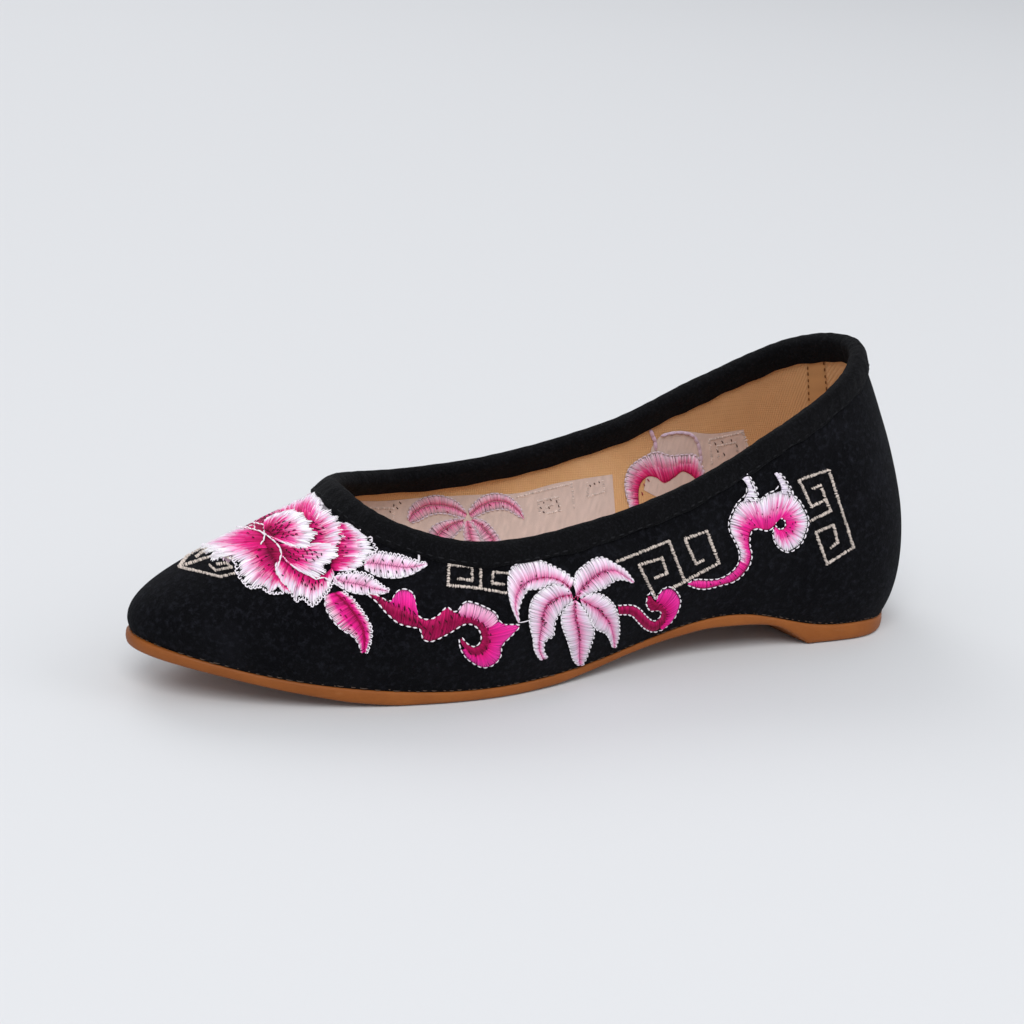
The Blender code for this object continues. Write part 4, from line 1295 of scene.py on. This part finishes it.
def chart_lily(bag):
    petal = [(0.0, linear(236, 100, 168)), (0.12, linear(242, 158, 200)), (0.30, linear(242, 190, 218)),
             (0.50, linear(238, 212, 232)), (0.72, LAVENDER), (1.0, WHITE)]
    petals = [
        [
            (545, 320, 575, 250, 530, 352), (490, 270, 520, 205, 470, 305), (430, 245, 430, 158, 400, 285),
            (350, 240, 330, 115, 322, 322), (270, 258, 220, 118, 252, 325), (200, 300, 118, 165, 218, 355),
            (160, 360, 90, 260, 188, 415), (145, 430, 98, 370, 170, 475), (152, 500, 128, 478, 170, 520),
            (172, 568, 168, 564, 176, 566),
        ],
        [
            (590, 370, 572, 290, 622, 388), (640, 310, 590, 200, 700, 352), (700, 250, 650, 148, 765, 328),
            (760, 205, 715, 102, 820, 302), (820, 185, 785, 90, 870, 262), (880, 190, 862, 128, 922, 253),
            (940, 230, 945, 178, 968, 262), (1010, 268, 1012, 260, 1006, 277),
        ],
        [
            (560, 360, 530, 320, 560, 405), (480, 372, 430, 288, 500, 455), (420, 395, 330, 330, 465, 505),
            (370, 440, 262, 400, 440, 545), (345, 520, 242, 490, 428, 605), (335, 600, 248, 590, 420, 662),
            (320, 680, 270, 680, 362, 698), (318, 760, 280, 760, 352, 768), (345, 828, 318, 828, 380, 818),
        ],
        [
            (575, 400, 545, 420, 605, 420), (575, 480, 485, 490, 668, 500), (590, 560, 478, 572, 712, 590),
            (605, 640, 508, 658, 716, 660), (610, 720, 538, 748, 692, 735), (610, 800, 558, 822, 668, 805),
            (612, 868, 592, 870, 636, 870),
        ],
        [
            (620, 395, 680, 362, 632, 432), (680, 430, 770, 355, 682, 505), (740, 460, 850, 412, 712, 575),
            (790, 510, 888, 478, 742, 618), (830, 560, 905, 570, 802, 642), (855, 640, 903, 662, 835, 692),
            (866, 742, 880, 742, 854, 746),
        ],
    ]
    levels = (1, 1, 2, 2, 1)
    for level, both in zip(levels, petals):
        for rungs in halves(both):
            _, rim = satin(bag, LILY, rungs, petal, level=level, ragged=0.06, reach=0.0065)
            couch(bag, rim, dash=0.0010, gap=0.00055, width=0.00040, lift=0.0001 + LAYER * level)
    for line in ([(530, 300), (480, 268), (420, 246), (340, 240), (270, 262)],
                 [(600, 360), (650, 300), (700, 250), (760, 207), (820, 186)],
                 [(540, 365), (480, 374), (420, 398), (372, 442), (350, 500), (338, 560)],
                 [(576, 420), (578, 480), (592, 560), (606, 640), (610, 690)],
                 [(640, 408), (700, 440), (750, 468), (795, 515), (830, 560)]):
        couch(bag, line_on_cloth(LILY, line), dash=0.0007, gap=0.0013, width=0.0004, colour=CRIMSON,
              lift=0.0008)
    ticks(bag, LILY, [
        (185, 268), (180, 292), (205, 320), (290, 228), (235, 270), (480, 290), (520, 300), (545, 312),
        (525, 335), (610, 348), (640, 318), (655, 275), (740, 225), (790, 195), (812, 200), (630, 300),
        (670, 300),
    ], size=1.3, lift=0.0009)
    ticks(bag, LILY, [
        (345, 540), (360, 560), (330, 530), (350, 575), (420, 408), (440, 395), (400, 425), (380, 430),
        (575, 425), (578, 450), (580, 510), (575, 540), (598, 590), (602, 625), (606, 655), (612, 680),
        (655, 430), (740, 452), (770, 475), (780, 500), (800, 520), (825, 560),
    ], size=1.3, lift=0.0009)
    ticks(bag, LILY, [
        (545, 370), (560, 385), (590, 385), (600, 372), (575, 372),
    ], size=1.6, colour=linear(190, 60, 110), lift=0.0010)


def chart_frets(bag):
    for points in (
        [(735, 290), (842, 303), (838, 200), (668, 185), (660, 340), (900, 362), (1098, 398)],
        [(905, 172), (905, 355)],
        [(1112, 250), (1000, 240), (990, 325), (1078, 332)],
    ):
        fret(bag, SCROLL, points)
    for points in (
        [(616, 562), (669, 541), (684, 580)],
        [(655, 597), (639, 565), (662, 558), (667, 573), (655, 578)],
        [(672, 588), (719, 563), (707, 531), (685, 539), (696, 564), (703, 560)],
    ):
        fret(bag, FULL, points)
    for points in (
        [
            (940, 158), (1175, 78), (1370, 688), (1162, 820), (1072, 572), (1212, 512), (1245, 650),
            (1190, 692),
        ],
        [(940, 158), (1040, 370), (1150, 312), (1110, 198), (1045, 228)],
        [(1152, 315), (1190, 402), (1030, 480)],
    ):
        fret(bag, HEEL, points, width=3.0)
    for points in (
        [(520, 448), (440, 468), (340, 445), (236, 420), (285, 362), (345, 330), (420, 338)],
        [(262, 412), (345, 385), (425, 362), (500, 385)],
        [(322, 372), (350, 348), (405, 342)],
        [(385, 412), (415, 438), (492, 424), (470, 402), (420, 408)],
    ):
        fret(bag, VAMP, points, width=2.4)


def chart_reverse(silk, cotton):
    """The back of the stitches on the inside, with the pale stiffening cloth under them."""
    for corners in (
        [
            (20, 448, 20, 640), (120, 450, 120, 640), (240, 440, 240, 640), (400, 432, 400, 640),
            (500, 428, 500, 640), (600, 402, 600, 640), (680, 388, 690, 620), (762, 376, 776, 560),
        ],
        [
            (872, 300, 850, 420), (905, 262, 890, 440), (960, 255, 960, 460), (1040, 262, 1040, 440),
            (1130, 250, 1150, 400),
        ],
    ):
        dense = through(np.asarray(corners, float), BETWEEN * (len(corners) - 1) + 1)
        share = np.linspace(0, 1, 14)[None, :, None]
        flat = dense[:, None, :2] * (1 - share) + dense[:, None, 2:] * share
        grid = cotton.chart.find(LINED(flat.reshape(-1, 2))).reshape(*flat.shape)
        mottle = 1 + rng.normal(0, 0.05, (*flat.shape[:2], 1))
        cotton.sheets.append((grid, BACKING * mottle, 0.00022))
    petal = [(0.0, linear(228, 96, 152)), (0.30, linear(234, 150, 186)), (0.6, linear(232, 190, 210)),
             (1.0, linear(226, 204, 216))]
    for both in (
        [
            (355, 488, 350, 478, 350, 500), (320, 470, 325, 450, 320, 492), (280, 462, 275, 433, 285, 485),
            (240, 465, 225, 443, 250, 490), (205, 485, 195, 468, 222, 505), (192, 505, 188, 500, 200, 512),
        ],
        [
            (362, 490, 358, 478, 372, 500), (395, 465, 385, 445, 400, 485), (430, 452, 425, 428, 435, 475),
            (465, 455, 470, 436, 465, 475), (495, 475, 502, 465, 490, 488), (515, 500, 515, 498, 513, 503),
        ],
        [
            (345, 505, 340, 498, 350, 520), (305, 520, 295, 505, 325, 545), (275, 545, 255, 525, 312, 560),
            (262, 590, 238, 575, 300, 610),
        ],
        [
            (355, 505, 345, 515, 370, 508), (360, 530, 345, 540, 385, 535), (368, 562, 350, 565, 395, 565),
            (372, 600, 358, 605, 392, 605),
        ],
        [
            (368, 503, 378, 498, 368, 515), (395, 520, 410, 510, 385, 540), (425, 555, 440, 545, 402, 565),
            (440, 590, 458, 585, 420, 598),
        ],
    ):
        for rungs in halves(both):
            _, rim = satin(silk, LINED, rungs, petal, level=1)
            couch(silk, rim, dash=0.0012, gap=0.0003, width=0.00045, colour=linear(222, 206, 218),
                  lift=0.0006)
    arc = [(0.0, linear(206, 26, 96)), (0.3, linear(222, 60, 130)), (0.55, linear(232, 140, 184)),
           (0.8, linear(232, 200, 218)), (1.0, linear(234, 222, 232))]
    _, rim = satin(silk, LINED, [
        (838, 480, 815, 486), (835, 430, 798, 425), (842, 400, 798, 385), (862, 382, 812, 352),
        (885, 385, 850, 325), (908, 400, 885, 312), (935, 385, 920, 322), (958, 368, 958, 320),
        (985, 380, 992, 320), (1000, 400, 1012, 350), (1005, 430, 1022, 400),
    ], arc, level=2)
    couch(silk, rim, gap=0.0003, width=0.0005, colour=linear(222, 204, 220), lift=0.0008)
    couch(silk, line_on_cloth(LINED, [
        (868, 250), (876, 272), (886, 292), (884, 308),
    ], chart=silk.chart), dash=0.0034, gap=-0.0010, width=0.0013, colour=linear(220, 190, 214), lift=0.0006)
    couch(silk, line_on_cloth(LINED, [
        (898, 268), (940, 258), (984, 264), (1003, 292), (1012, 345),
    ], chart=silk.chart), dash=0.0034, gap=-0.0010, width=0.0012, colour=linear(222, 198, 218), lift=0.0006)
    ticks(silk, LINED, [
        (850, 405), (862, 392), (900, 375), (940, 362), (975, 352), (845, 430), (990, 365), (300, 480),
        (270, 470), (420, 462), (455, 465), (300, 530), (365, 525), (398, 515),
    ], size=2.0, colour=linear(150, 20, 70), lift=0.0006, turn=60)
    for points in (
        [(495, 440), (648, 402), (656, 470)],
        [(560, 488), (554, 452), (610, 440), (616, 478), (580, 486), (578, 466), (598, 462)],
        [(690, 400), (694, 440), (740, 425), (736, 396)],
        [(1042, 345), (1034, 280), (1128, 258), (1142, 300)],
        [(1060, 330), (1056, 298), (1108, 286), (1112, 312)],
        [(60, 470), (150, 472), (148, 500)],
    ):
        fret(cotton, LINED, points, width=3.4, pitch=0.0005, colour=linear(232, 214, 206))
    ticks(cotton, LINED, [
        (562, 470), (570, 455), (590, 448), (606, 452), (612, 465), (585, 470), (570, 482), (700, 408),
        (712, 402), (725, 398), (150, 462), (160, 470), (168, 455), (140, 480), (1050, 290), (1070, 285),
        (1095, 280), (1056, 310), (1075, 320), (1110, 296),
    ], size=1.6, colour=linear(70, 50, 48), lift=0.0004, turn=60)


def chart_seams(black, brown):
    """Black thread at the binding and the back seam, glue at the sole, and the tape inside the back."""
    u = np.arange(0, SPANS + 0.01, 0.05)
    binding = np.stack([u, last.v_below_collar(u % SPANS, BINDING_OUTSIDE * 0.86)], 1)
    couch(black, binding, dash=0.0021, gap=0.0009, width=0.0004, colour=linear(24, 24, 28),
          lift=0.00115, height=0.00012)
    v = np.linspace(0.02, 0.82, 40)
    for side in (-0.09, 0.09):
        couch(black, np.stack([np.full(40, side), v], 1), dash=0.0020, gap=0.0007, width=0.00035,
              colour=linear(26, 26, 30), lift=0.00005, height=0.0002)
    start = np.arange(0, SPANS, 0.09)
    start = start + rng.uniform(0, 0.05, len(start))
    size = rng.uniform(0.01, 0.07, len(start))
    low = rng.uniform(0.004, 0.012, len(start))
    black.lay(np.stack([start, low], 1), np.stack([start + size, low], 1), width=0.00034, height=0.00012,
              lift=0.00015, first=linear(74, 60, 52), second=linear(92, 76, 66))
    middle, width = 20.98, 0.20
    across, up = np.linspace(middle - width, middle + width, 9), np.linspace(0.25, 0.97, 30)
    grid = np.stack(np.meshgrid(across, up, indexing="ij"), -1)
    twill = 1 + 0.05 * np.sin(np.arange(30) * 2.1)[None, :, None] * np.ones((9, 1, 1))
    brown.sheets.append((grid, linear(206, 158, 108) * twill, 0.00025))
    for side in (middle - width * 0.92, middle + width * 0.92):
        couch(brown, np.stack([np.full(30, side), up], 1), gap=0.0010, width=0.0004,
              colour=linear(112, 70, 38), lift=0.0003)


inner_chart = Chart(inside=True, low_u=10.6, high_u=22.6)
LINED = picture(340, 340, 2.8)
peony, leaves, scrolls, lily, frets, seams = (Threads() for _ in range(6))
reverse, backing = Threads(inner_chart), Threads(inner_chart)
chart_peony(peony)
chart_leaves(leaves)
chart_scrolls(scrolls)
chart_lily(lily)
chart_frets(frets)
chart_reverse(reverse, backing)
tape = Threads(inner_chart)
chart_seams(seams, tape)


def past(limit):
    """Keeps the stitches whose mirror lies past this u."""
    return lambda rows: SPANS - (rows[:, 0] + rows[:, 2]) / 2 > limit


peony.build("embroidery_peony_outer", SILK, "embroidery_pink")
leaves.build("embroidery_leaves_outer", SILK, "embroidery_pink")
scrolls.build("embroidery_scrolls_outer", SILK, "embroidery_pink")
lily.build("embroidery_lily_outer", SILK, "embroidery_white")
frets.build("embroidery_frets_outer", COTTON, "embroidery_cream")
# the far half of the flower runs in under the near one at the middle of the vamp
peony.build("embroidery_peony_inner", SILK, "embroidery_pink", mirror=True, keep=past(TOE - 0.15), flat=0.35)
leaves.build("embroidery_leaves_inner", SILK, "embroidery_pink", mirror=True)
scrolls.build("embroidery_scrolls_inner", SILK, "embroidery_pink", mirror=True)
lily.build("embroidery_lily_inner", SILK, "embroidery_white", mirror=True)
frets.build("embroidery_frets_inner", COTTON, "embroidery_cream", mirror=True, keep=past(TOE + 1.2))
for side, mirror in (("inner", False), ("outer", True)):
    reverse.build("reverse_silk_" + side, SILK, "embroidery_pink", mirror=mirror, flat=0.7)
    backing.build("backing_" + side, COTTON, "embroidery_cream", mirror=mirror, flat=0.7)
seams.build("seam_stitches", COTTON, "black_cloth")
tape.build("back_tape", COTTON, "tan_lining")


# Camera, floor and light
def build_stage():
    camera = bpy.data.cameras.new("camera")
    sensor = 36
    camera.sensor_width = sensor
    camera.lens = FOCAL_PIXELS / PIXELS * sensor
    camera.clip_start = 0.01
    holder = bpy.data.objects.new("camera", camera)
    matrix = Matrix.Identity(4)
    for column, axis in enumerate((RIGHT, ABOVE, -FORWARD, EYE)):
        for row in range(3):
            matrix[row][column] = axis[row]
    holder.matrix_world = matrix
    bpy.context.scene.collection.objects.link(holder)
    bpy.context.scene.camera = holder

    floor_mesh = bpy.data.meshes.new("floor")
    half = 6.0
    floor_mesh.from_pydata([(-half, -half, 0), (half, -half, 0), (half, half, 0), (-half, half, 0)], [], [
        (0, 1, 2, 3),
    ])
    pale = Nodes("floor_pale", linear(214, 215, 217), 0.8)
    floor_mesh.materials.append(pale.material)
    floor = bpy.data.objects.new("floor", floor_mesh)
    floor.location.z = -0.0002
    bpy.context.scene.collection.objects.link(floor)

    for name, place, size, power in (
        ("key", (0.9, 1.7, 2.3), 1.8, 44.0),
        ("fill", (-1.9, 1.3, 1.6), 1.8, 12.0),
        ("back", (0.2, -2.2, 2.0), 1.8, 18.0),
    ):
        light = bpy.data.lights.new(name, "AREA")
        light.shape = "DISK"
        light.size = size
        light.energy = power
        lamp = bpy.data.objects.new(name, light)
        lamp.location = place
        lamp.rotation_euler = (Vector((0.08, 0, 0.03)) - Vector(place)).to_track_quat("-Z", "Y").to_euler()
        bpy.context.scene.collection.objects.link(lamp)
    world = bpy.data.worlds.new("studio")
    world.use_nodes = True
    world.node_tree.nodes["Background"].inputs["Color"].default_value = (0.85, 0.87, 0.905, 1)
    world.node_tree.nodes["Background"].inputs["Strength"].default_value = 0.72
    bpy.context.scene.world = world
    bpy.context.scene.view_settings.view_transform = "Standard"


build_stage()
